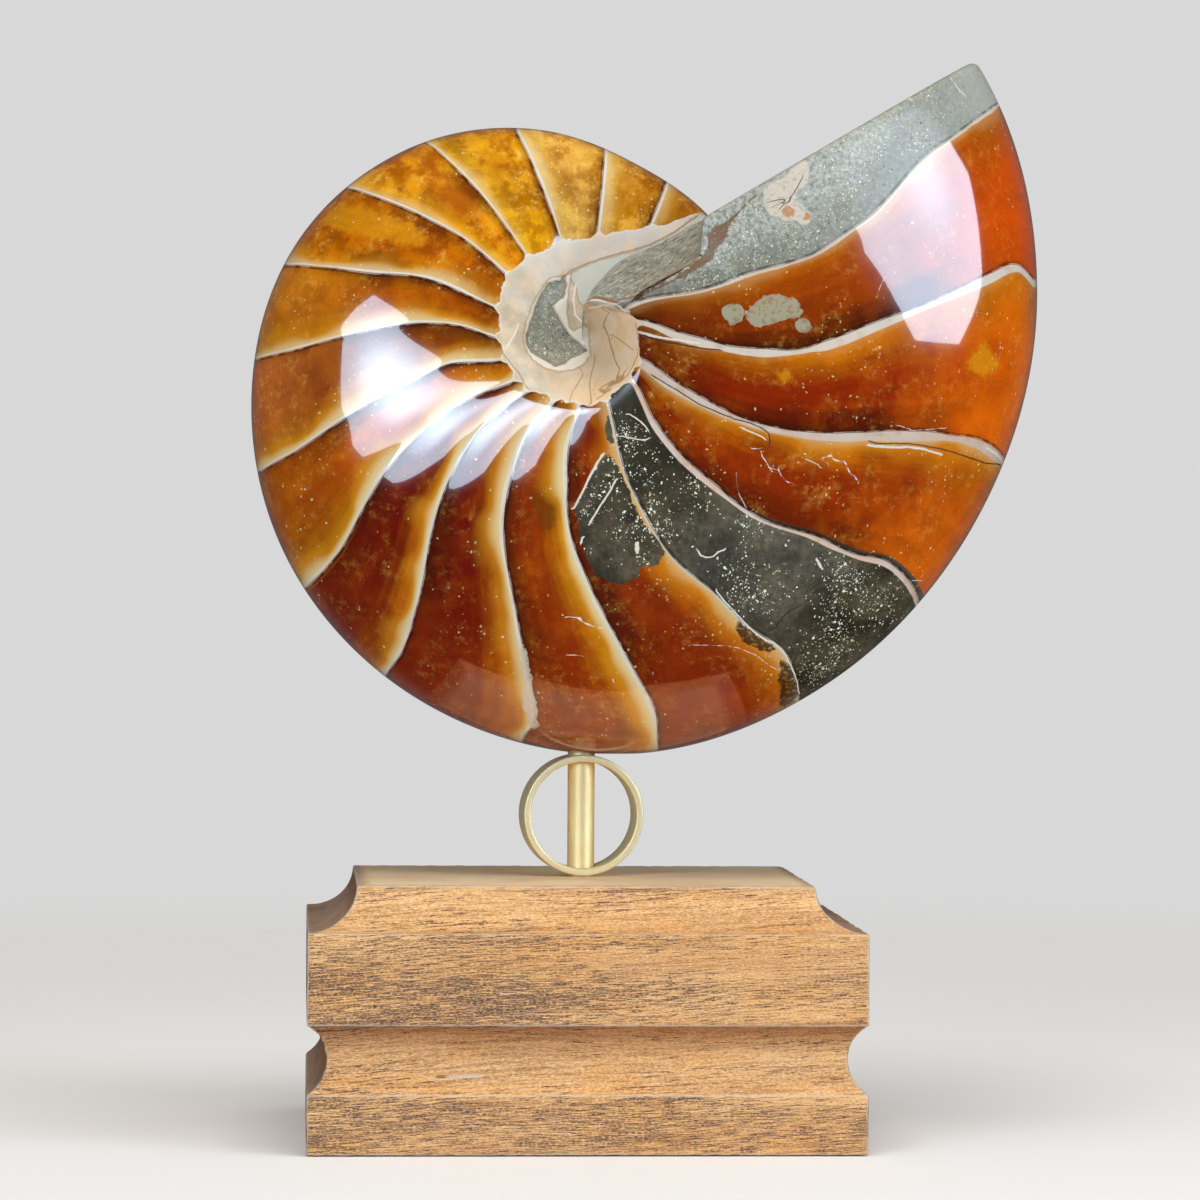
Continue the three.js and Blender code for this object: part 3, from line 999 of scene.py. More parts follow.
    def umbilicus(self, w: Wiring, spot: Spot, colour: Signal) -> tuple[Signal, Signal]:
        """Lays the nacre round the middle over the chambers' inner ends.

        Args:
            w: The tree.
            spot: Where each place is.
            colour: The colour of the chambers.

        Returns:
            The colour with the nacre and a mask of the nacre.
        """
        at = spot.at
        near = w.step(w.math("MINIMUM", spot.ahead, spot.behind), 1.4, 0.2, 0.0, 0.8)
        edge = w.value("nacre") - near
        patch = w.place(PATCH, at=at, edge=edge, ragged=0.45, soft=0.3, rim_width=0.5)
        right, up, _ = w.parts(w.rows("flank"))
        tan = w.step(right + up * -0.7, -4.0, 8.0, 0.0, 0.9)
        nacre = w.mix(tan, self.nacre_cream, self.nacre_tan)
        nacre = w.mix(w.step(up, 8.0, 20.0, 0.0, 0.9), nacre, self.nacre_pink)
        nacre = w.mix(w.step(w.noise(at, RAGGED), 0.45, 0.68, 0.0, 0.5), nacre, self.nacre_tan)
        nacre = w.mix(w.place(CLOUDS, at=at, size=260.0)["Cloud"] * 0.35, nacre, self.vein)
        nacre = w.mix(patch["Rim"] * 0.5, nacre, self.vein)
        for name, tint, strength in (("pale_zone", self.nacre_grey, 0.75), ("plug_rim", self.vein, 0.85)):
            zone = w.place(PATCH, at=at, edge=w.value(name), ragged=0.4, soft=0.2, rim_width=0.26)
            nacre = w.mix(zone["Mask"] * strength, nacre, tint)
            nacre = w.mix(zone["Rim"] * 0.45, nacre, self.seam)
        plug = w.place(PATCH, at=at, edge=w.value("plug"), ragged=0.4, soft=0.1, rim_width=0.3)
        stone, _ = self.matrix.wire(w, at, 0.95, 0.9)
        nacre = w.mix(plug["Mask"], nacre, stone)
        nacre = w.mix(plug["Rim"] * 0.4, nacre, self.strip)
        return w.mix(patch["Mask"], colour, nacre), patch["Mask"]

    def marks(self, w: Wiring, at: Signal, colour: Signal) -> tuple[Signal, Signal]:
        """Lays the single patches, veins, cracks and scratches over everything.

        Args:
            w: The tree.
            at: Places on the surface.
            colour: What they are laid on.

        Returns:
            The colour with the marks, and a mask of those that broke the surface.
        """
        mottle = w.noise(at, FINE)
        for name, shrunk, ragged, tint, strength in (
            ("brown_strip", 0.3, 0.6, self.strip, 0.85),
            ("burnt", 0.0, 0.9, self.burnt, 0.9),
            ("bloom", 0.0, 0.6, self.bloom, 0.92),
            ("flake", 0.0, 1.0, self.flake, 0.9),
            ("ochre", 0.0, 0.6, self.ochre, 0.85),
        ):
            patch = w.place(PATCH, at=at, edge=w.value(name) + shrunk, ragged=ragged, soft=0.25)
            mottled = w.step(mottle, 0.35, 0.5, 0.6 * strength, strength)
            colour = w.mix(patch["Mask"] * mottled, colour, tint)
        broken: Feed = 0.0
        for name, shake, tint, strength in (
            ("veins", 0.2, self.vein, 0.95),
            ("seams", 0.2, self.seam, 0.75),
            ("scratches", 0.2, self.scratch, 0.95),
            ("cracks", 0.15, self.crack, 0.9),
        ):
            line = w.place(STROKE, at=at, stroke=w.rows(name), shake=shake)["Mask"]
            if name == "scratches":
                line = line * w.step(w.noise(at, 1100.0), 0.42, 0.54, 0.12, 1.0)
            colour = w.mix(line * strength, colour, tint)
            if name in ("scratches", "cracks"):
                broken = w.larger(broken, line)
        return colour, broken


@dataclass(frozen=True)
class SawnStone(Finish):
    """The cut end: grey matrix inside a thin brown rim of shell."""

    rim: Colour = shade(150, 92, 46)
    streak: Colour = shade(214, 212, 188)
    dark: Colour = shade(52, 44, 30)
    hollow: Colour = shade(70, 70, 54)
    lay_degrees: float = 34.0
    matrix: MatrixStone = MatrixStone()

    def inputs(self, w: Wiring) -> Made:
        """Wires the cut face.

        Args:
            w: The material's tree.

        Returns:
            What the shader's inputs get.
        """
        at = w.surface()
        stone, grains = self.matrix.wire(w, at, 0.95, 0.35)
        turn = {"Vector": at, "Angle": math.radians(self.lay_degrees)}
        along = w.put("ShaderNodeVectorRotate", turn, rotation_type="Y_AXIS")[0]
        lay = w.vector("MULTIPLY", along, (70.0, 60.0, 330.0))
        bands = w.noise(lay, 6.0, 4.0, 0.62)
        cracks = w.noise(w.vector("MULTIPLY", lay, (0.6, 1.0, 1.0)), 3.2)
        colour = w.mix(w.step(bands, 0.5, 0.7, 0.0, 0.65), stone, self.streak)
        colour = w.mix(w.step(bands, 0.46, 0.32, 0.0, 0.65), colour, self.hollow)
        colour = w.mix(w.step(abs(cracks - 0.5), 0.02, 0.004, 0.0, 0.7), colour, self.dark)
        ragged = w.value("from_edge") + w.ripple(at, 260.0, 0.5, 4.0)
        colour = w.mix(w.step(ragged, 1.3, 0.8, 0.0, 0.8), colour, self.rim)
        colour = w.mix(w.step(w.value("across_cut"), 0.9, 1.0, 0.0, 0.35), colour, self.streak)
        rough_part = w.step(w.noise(at, 300.0, 4.0), 0.3, 0.7, 0.4, 0.6)
        bumps = w.bumps(bands * 0.6 + grains * 0.3, 0.0004)
        return {"Base Color": colour, "Roughness": rough_part, "Normal": bumps}


# ---------------------------------------------------------------- brass and wood finishes


@dataclass(frozen=True)
class SatinBrass(Finish):
    """Brass brushed to a satin, with fine lines along its lay and brighter rubbed rims."""

    metal: Colour = (1.0, 0.79, 0.4)
    warm: Colour = (0.9, 0.58, 0.22)
    rubbed: Colour = (1.0, 0.88, 0.56)

    def inputs(self, w: Wiring) -> Made:
        """Wires the brass.

        Args:
            w: The material's tree.

        Returns:
            What the shader's inputs get.
        """
        at = w.surface()
        lines = w.drawn_out(w.rows("lay"), (9000.0, 120.0, 9000.0), 3.0, 0.6)
        tarnish = w.place(CLOUDS, at=at, size=240.0)["Cloud"]
        colour = w.mix(tarnish * 0.35, self.metal, self.warm)
        colour = w.mix(w.step(lines, 0.35, 0.65, 0.0, 0.22), colour, self.rubbed)
        worn = w.place(WEAR, at=at, edge=w.value("arris"), broken=0.4)["Mask"]
        colour = w.mix(worn * 0.5, colour, self.rubbed)
        film = w.place(DUST, at=at)["Film"] * 0.08
        rough_part = film + w.step(lines, 0.2, 0.8, 0.4, 0.52)
        bumps = w.bumps(lines, 0.00002)
        return {"Base Color": colour, "Metallic": 0.7, "Roughness": rough_part, "Normal": bumps}


class Figure(Enum):
    """A pattern of the wood: its repeats in a metre along X, Y and Z, its detail and its roughness."""

    WAVE = ((14.0, 20.0, 34.0), 2.0, 0.5)
    RINGS = ((9.0, 90.0, 260.0), 3.0, 0.55)
    FIBRE = ((110.0, 1400.0, 2600.0), 3.0, 0.65)
    BLOTCH = ((60.0, 60.0, 110.0), 3.0, 0.5)
    STREAKS = ((34.0, 300.0, 1500.0), 3.0, 0.6)
    GRIT = ((1700.0, 1700.0, 4400.0), 2.0, 0.7)
    THIN_PORES = ((300.0, 900.0, 6000.0), 1.0, 0.5)
    LONG_PORES = ((150.0, 500.0, 2800.0), 2.0, 0.6)
    CROWDS = ((24.0, 60.0, 150.0), 3.0, 0.6)
    GROWTH = ((10.0, 90.0, 900.0), 3.0, 0.6)
    END_FIBRE = ((300.0, 900.0, 900.0), 3.0, 0.5)

    def draw(self, w: Wiring, at: Signal) -> Signal:
        """Adds the pattern, as noise from 0 to 1."""
        return w.drawn_out(at, *self.value)


@dataclass(frozen=True)
class StainedWood(Finish):
    """Honey-coloured wood with dark pores along the grain, dull end grain and pale worn edges."""

    scratch_start: float = -0.0262
    scratch_height: float = 0.0138
    grain_slope: float = -0.055
    wave_height: float = 0.0022
    honey: Colour = shade(252, 190, 122)
    tan: Colour = shade(228, 166, 104)
    amber: Colour = shade(244, 168, 88)
    pore: Colour = shade(84, 60, 54)
    brown: Colour = shade(154, 97, 55)
    end_grain: Colour = shade(158, 112, 74)
    top_dust: Colour = shade(255, 224, 178)
    # Pale of wear and dust; on up-facing end grain it is also painted light.
    worn: Colour = shade(216, 196, 170)

    def inputs(self, w: Wiring) -> Made:
        """Wires the wood.

        Args:
            w: The material's tree.

        Returns:
            What the shader's inputs get.
        """
        at, flat = w.surface(), w.value("flat")
        right, back, up = w.parts(at)
        wave = (Figure.WAVE.draw(w, at) - 0.5) * (2.0 * self.wave_height)
        along = w.joined(right, back, up + (right * self.grain_slope + wave))
        blotch, grit = Figure.BLOTCH.draw(w, at), Figure.GRIT.draw(w, along)
        fibre = Figure.FIBRE.draw(w, along)
        colour = w.mix(w.step(Figure.RINGS.draw(w, along), 0.35, 0.65), self.honey, self.tan)
        for pattern, low, high, strength, tint in (
            (blotch, 0.45, 0.7, 0.6, self.amber),
            (fibre, 0.46, 0.68, 0.5, self.brown),
            (fibre, 0.44, 0.26, 0.45, self.worn),
            (Figure.STREAKS.draw(w, along), 0.52, 0.64, 0.4, self.brown),
            (grit, 0.5, 0.66, 0.5, self.brown),
            (grit, 0.48, 0.34, 0.45, self.top_dust),
        ):
            colour = w.mix(w.step(pattern, low, high, 0.0, strength), colour, tint)
        dark = self.pores(w, along, right, flat) * w.step(grit, 0.4, 0.56, 0.4, 1.0)
        colour = w.mix(dark, colour, self.pore)
        # Painted shade: the groove's upper half, which faces down, is darkened towards brown.
        colour = w.mix(w.value("groove_shade"), colour, w.mix(0.6, colour, self.brown, "MULTIPLY"))
        colour = self.scratch(w, self.faces(w, at, colour, blotch), right, back, up)
        worn = w.place(WEAR, at=at, edge=w.value("arris"), broken=1.1)["Mask"]
        colour = w.mix(worn * 0.6, colour, self.worn)
        specks = w.place(DUST, at=at, specks=0.05)["Specks"]
        colour = w.mix(specks * w.step(flat, 0.9, 0.2, 0.1, 0.5), colour, self.worn)
        relief = fibre - dark * 0.5 + w.noise(at, 3600.0, 1.0) * 0.5
        return {"Base Color": colour, "Roughness": fibre * 0.2 + 0.5, "Normal": w.bumps(relief, 0.00014)}

    def pores(self, w: Wiring, along: Signal, right: Signal, flat: Signal) -> Signal:
        """A mask of the stained pores: short dashes along the grain, crowded towards the left.

        Args:
            w: The tree.
            along: Places that follow the grain.
            right: The place along the base, in metres.
            flat: Where the moulding is plainly flat, which took more stain.

        Returns:
            The mask.
        """
        level = (Figure.CROWDS.draw(w, along) - 0.5) * 0.34 + w.step(right, 0.035, -0.05, 0.0, 0.06)
        level = level + (flat - 1.0) * 0.075
        both = Figure.THIN_PORES.draw(w, along) * 0.6 + Figure.LONG_PORES.draw(w, along) * 0.4
        return w.step(both + level, 0.495, 0.61, 0.0, 0.92)

    def faces(self, w: Wiring, at: Signal, colour: Signal, blotch: Signal) -> Signal:
        """Lays the end grain and the dusty top over the long grain.

        Args:
            w: The tree.
            at: Places on the surface.
            colour: The long grain's colour.
            blotch: The uneven stain.

        Returns:
            The colour with the ends and the top.
        """
        end = w.mix(w.step(Figure.END_FIBRE.draw(w, at), 0.35, 0.65, 0.0, 0.5), self.end_grain, self.brown)
        end = w.mix(w.step(Figure.GROWTH.draw(w, at), 0.42, 0.62, 0.0, 0.4), end, self.pore)
        end = w.mix(w.place(GRAINS, at=at, cells=1900.0, density=0.35)["Mask"] * 0.5, end, self.pore)
        # Settled dust and painted light: the end grain is paler where it faces up.
        upward = w.parts(w.put("ShaderNodeNewGeometry")["Normal"])[2]
        uneven = w.step(w.noise(at, 260.0, 3.0), 0.3, 0.7, 0.6, 1.0)
        end = w.mix(w.step(upward, 0.2, 0.9, 0.0, 0.3) * uneven, end, self.worn)
        colour = w.mix(w.value("end_grain"), colour, end)
        top = w.mix(w.step(blotch, 0.4, 0.7, 0.0, 0.35), self.top_dust, self.tan)
        return w.mix(w.value("top") * 0.8, colour, top)

    def scratch(self, w: Wiring, colour: Signal, right: Signal, back: Signal, up: Signal) -> Signal:
        """Draws one short pale scratch low on the front, with a dark start.

        Args:
            w: The tree.
            colour: What it is drawn on.
            right: The place along X, in metres.
            back: The place along Y.
            up: The height.

        Returns:
            The colour with the scratch.
        """
        thin = w.step(abs(up - self.scratch_height), 0.0005, 0.0001)
        along, front = right - self.scratch_start, back < -0.03
        pale = w.step(abs(along - 0.0045), 0.004, 0.002) * thin * front
        start = w.step(abs(along), 0.0012, 0.0004) * thin * front
        return w.mix(start * 0.55, w.mix(pale * 0.75, colour, self.worn), self.pore)


POLISHED_SHELL = PolishedShell("polished_fossil_shell", coat=1.0, coat_roughness=0.02, coat_ior=1.75)
SAWN_STONE = SawnStone("sawn_matrix", coat=0.15, coat_roughness=0.25)
SATIN_BRASS = SatinBrass("brushed_brass")
STAINED_WOOD = StainedWood("honey_wood", ior=1.45)


# ---------------------------------------------------------------- the coil of the shell

# Where the cut end is broken back near the umbilicus: radius in millimetres and direction.
BROKEN_EDGE: Path = (
    (0, 92), (4, 90), (6.4, 87), (6.8, 64), (8.6, 47), (10, 41.5), (12.6, 40), (14.4, 39), (17.2, 37),
    (22.3, 35), (27, 35),
)
# How far the inner whorl leans back where it comes out of the cut end, at shares of its radius.
INNER_WHORL_LEAN: Path = (
    (0, 48), (0.117, 46), (0.187, 43), (0.222, 39), (0.278, 35), (0.357, 28), (0.427, 24), (0.53, 17),
    (0.62, 10.5), (0.734, 6), (0.87, 3), (1, 0),
)


@dataclass(frozen=True)
class Coil:
    """How the shell grows about its umbilicus, in millimetres and degrees.

    Angles run counterclockwise on the side that shows, from the notch to the cut end.
    """

    x: float = -0.64
    z: float = 145.58
    start: float = 44.0
    end: float = 396.0
    radii: tuple[float, ...] = (34.2, 35.4, 40.9, 48, 55.3, 61.2, 67.3, 72.4, 76.5, 78.2, 81.1, 86.1, 90.9)
    shoulders: tuple[float, ...] = (
        0.56, 0.49, 0.4, 0.31, 0.25, 0.2, 0.165, 0.138, 0.126, 0.114, 0.104, 0.09, 0.07,
    )
    thickness: float = 0.8
    roundness: float = 2.2
    hollow_height: float = 17.0
    hollow_power: float = 1.5
    flat_height: float = 70.0
    cut_slope: float = 31.1
    cut_offset: float = 7.7
    break_from: float = 30.0
    break_to: float = 23.0
    edge_radius: float = 1.8
    start_blend: float = 90.0
    end_blend: float = 40.0
    column_power_start: float = 0.48
    column_power_end: float = 2.1
    section_step: float = 352.0 / 60.0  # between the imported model's own sections

    def growth(self, degrees: Array) -> Array:
        """How far along the coil an angle is, from 0 to 1."""
        return (degrees - self.start) / (self.end - self.start)

    def radius(self, degrees: Array) -> Array:
        """The outline's radius at an angle."""
        return even_spline(self.radii, self.growth(degrees))

    def flank_height(self, share: Array, outer: Array) -> Array:
        """Half the shell's width at a share of its radius, outside the shoulder."""
        n = self.roundness
        return self.thickness / 2.0 * outer * np.maximum(0.0, 1.0 - share**n) ** (1.0 / n)

    def height(self, degrees: Array, share: Array) -> Array:
        """Half the shell's width, with the shoulder rounded over.

        Args:
            degrees: The angles of the sections.
            share: Shares of the radius.

        Returns:
            The heights in millimetres.
        """
        outer = self.radius(degrees)
        shoulder = even_spline(self.shoulders, self.growth(degrees))

        def plain(at: Array) -> Array:
            """The two curves that meet in the shoulder's edge.

            Args:
                at: Share of the way from the hollow to the rim.

            Returns:
                Half the thickness there.
            """
            crest = self.flank_height(shoulder, outer)
            inward = np.clip(at / shoulder, 0.0, 1.0)
            hollow = self.hollow_height + (crest - self.hollow_height) * inward**self.hollow_power
            return np.where(at < shoulder, hollow, self.flank_height(np.minimum(at, 1.0), outer))

        reach = np.minimum(0.4 * shoulder, 0.06)
        low, high, short = shoulder - reach, np.minimum(shoulder + reach, 0.9), 1e-4
        start, end = plain(low), plain(high)
        leave = (start - plain(low - short)) / short * (high - low)
        arrive = (plain(high + short) - end) / short * (high - low)
        curve = hermite(np.clip((share - low) / (high - low), 0.0, 1.0), start, leave, end, arrive)
        return np.where((share > low) & (share < high), curve, plain(share))

    def lean(self, degrees: Array, radius: Array, outer: Array) -> Array:
        """How far a section near the start or the end is turned from its own angle.

        Args:
            degrees: The angles of the sections.
            radius: Distances from the umbilicus.
            outer: The outline's radius in each section.

        Returns:
            The turns in degrees.
        """
        at_start = 1.0 - smooth_step(0.0, 1.0, (degrees - self.start) / self.start_blend)
        at_end = smooth_step(0.0, 1.0, (degrees - (self.end - self.end_blend)) / self.end_blend)
        on_face = np.maximum(radius, self.break_from)
        face = self.cut_slope + np.degrees(np.arcsin(self.cut_offset / on_face))
        share = smooth_step(self.break_to, self.break_from, radius)
        broken = smooth_through(*zip(*BROKEN_EDGE), radius)
        end_lean = broken + (face - broken) * share + 360.0 - self.end
        return at_start * smooth_through(*zip(*INNER_WHORL_LEAN), radius / outer) + at_end * end_lean

    def column_share(self, across: Array, degrees: Array) -> Array:
        """Crowds the columns towards the venter at the start and the shoulder at the end.

        Args:
            across: Even shares across the flank.
            degrees: The angles of the sections.

        Returns:
            The uneven shares.
        """
        at_start = 1.0 - smooth_step(0.0, 1.0, (degrees - self.start) / self.start_blend)
        at_end = smooth_step(0.0, 1.0, (degrees - (self.end - self.start_blend)) / self.start_blend)
        power = 1.0 + at_start * (self.column_power_start - 1.0) + at_end * (self.column_power_end - 1.0)
        return across**power

    def surface(self, degrees: Array, hollow: Array, flank: Array) -> tuple[Array, Array, Array]:
        """Points of the side that faces -Y.

        Args:
            degrees: The angle of each point's section.
            hollow: From 0 at the middle to 1 at the shoulder.
            flank: From 0 at the shoulder to 1 at the venter.

        Returns:
            The points in millimetres, their own angles and their shares of the radius.
        """
        outer = self.radius(degrees)
        shoulder = even_spline(self.shoulders, self.growth(degrees))
        n = self.roundness
        first = np.arcsin(shoulder ** (n / 2.0))
        angle = first + (math.pi / 2.0 - first) * self.column_share(flank, degrees)
        share = np.where(flank > 0.0, np.sin(angle) ** (2.0 / n), shoulder * hollow)
        share = np.where(flank >= 1.0, 1.0, share)
        radius = share * outer
        turned = degrees + self.lean(degrees, radius, outer)
        height = np.where(flank >= 1.0, 0.0, self.height(degrees, share))
        x = self.x + radius * np.cos(np.radians(turned))
        z = self.z + radius * np.sin(np.radians(turned))
        return np.stack([x, -height, z], axis=-1), turned, share


# Where each septum crosses the flank: pairs of angle and share of the radius, from the venter in.
SEPTA: tuple[Path, ...] = (
    ((61, 0.97), (59, 0.74)),
    ((82, 0.98), (81, 0.58)),
    ((106, 0.96), (103, 0.65), (101, 0.47)),
    ((127, 0.98), (124, 0.7), (123, 0.4)),
    ((146, 0.98), (142, 0.74), (139, 0.54), (139, 0.35)),
    ((165, 0.98), (162, 0.72), (158, 0.53), (160, 0.29)),
    ((183, 0.99), (181, 0.83), (177, 0.65), (174, 0.51), (174, 0.37), (179, 0.26)),
    ((202, 0.99), (201, 0.88), (197, 0.67), (193, 0.49), (190, 0.4), (194, 0.25)),
    ((222, 0.99), (221, 0.86), (213, 0.64), (210, 0.52), (207, 0.35), (210, 0.24)),
    ((240, 0.98), (240, 0.91), (237, 0.77), (227, 0.54), (221, 0.38), (220, 0.27), (222, 0.19)),
    ((262, 0.98), (263, 0.94), (261, 0.84), (254, 0.65), (246, 0.51), (241, 0.39), (238, 0.27),
     (243, 0.17)),
    ((281, 0.99), (281, 0.89), (277, 0.74), (271, 0.59), (265, 0.46), (262, 0.35), (260, 0.26),
     (264, 0.16)),
    ((302, 0.99), (303, 0.86), (300, 0.77), (297, 0.66), (292, 0.55), (289, 0.44), (286, 0.3),
     (288, 0.15)),
    ((323, 0.99), (324, 0.93), (324, 0.86), (322, 0.8), (319, 0.68), (314, 0.57), (311, 0.45),
     (308, 0.33), (309, 0.23), (316, 0.15)),
    ((345, 0.98), (346, 0.9), (344, 0.75), (340, 0.62), (335, 0.49), (332, 0.39), (331, 0.3), (331, 0.2),
     (335, 0.13)),
    ((368, 0.98), (370, 0.94), (369, 0.87), (365, 0.69), (363, 0.62), (359, 0.52), (356, 0.42),
     (356, 0.28), (362, 0.18), (377, 0.1)),
    ((390, 1), (389, 0.86), (388, 0.76), (384, 0.65), (382, 0.57), (380, 0.48), (381, 0.36), (383, 0.22),
     (395, 0.1)),
)
FIRST_SPAN, LAST_SPAN = 20.0, 22.0  # degrees given to the open chambers at the two ends

# The border of the nacre round the umbilicus: angle and share of the radius.
NACRE_EDGE: Path = (
    (44, 1), (48, 0.957), (51, 0.866), (56, 0.756), (67, 0.652), (80, 0.567), (91, 0.519), (101, 0.474),
    (112, 0.428), (129, 0.382), (146, 0.342), (155, 0.311), (167, 0.278), (181, 0.256), (201, 0.226),
    (221, 0.203), (241, 0.168), (257, 0.162), (264, 0.149), (271, 0.163), (283, 0.151), (299, 0.142),
    (313, 0.133), (328, 0.126), (342, 0.12), (352, 0.112), (375, 0.102), (393, 0.088), (397, 0.078),
)


@dataclass(frozen=True)
class Stroke:
    """A line on the flank, in millimetres from the umbilicus, and its width."""

    path: Path
    width: float


@dataclass(frozen=True)
class Marking:
    """A kind of single patch: its attribute's name and its outlines, from the umbilicus."""

    name: str
    front: tuple[Path, ...]
    back: tuple[Path, ...] = ()


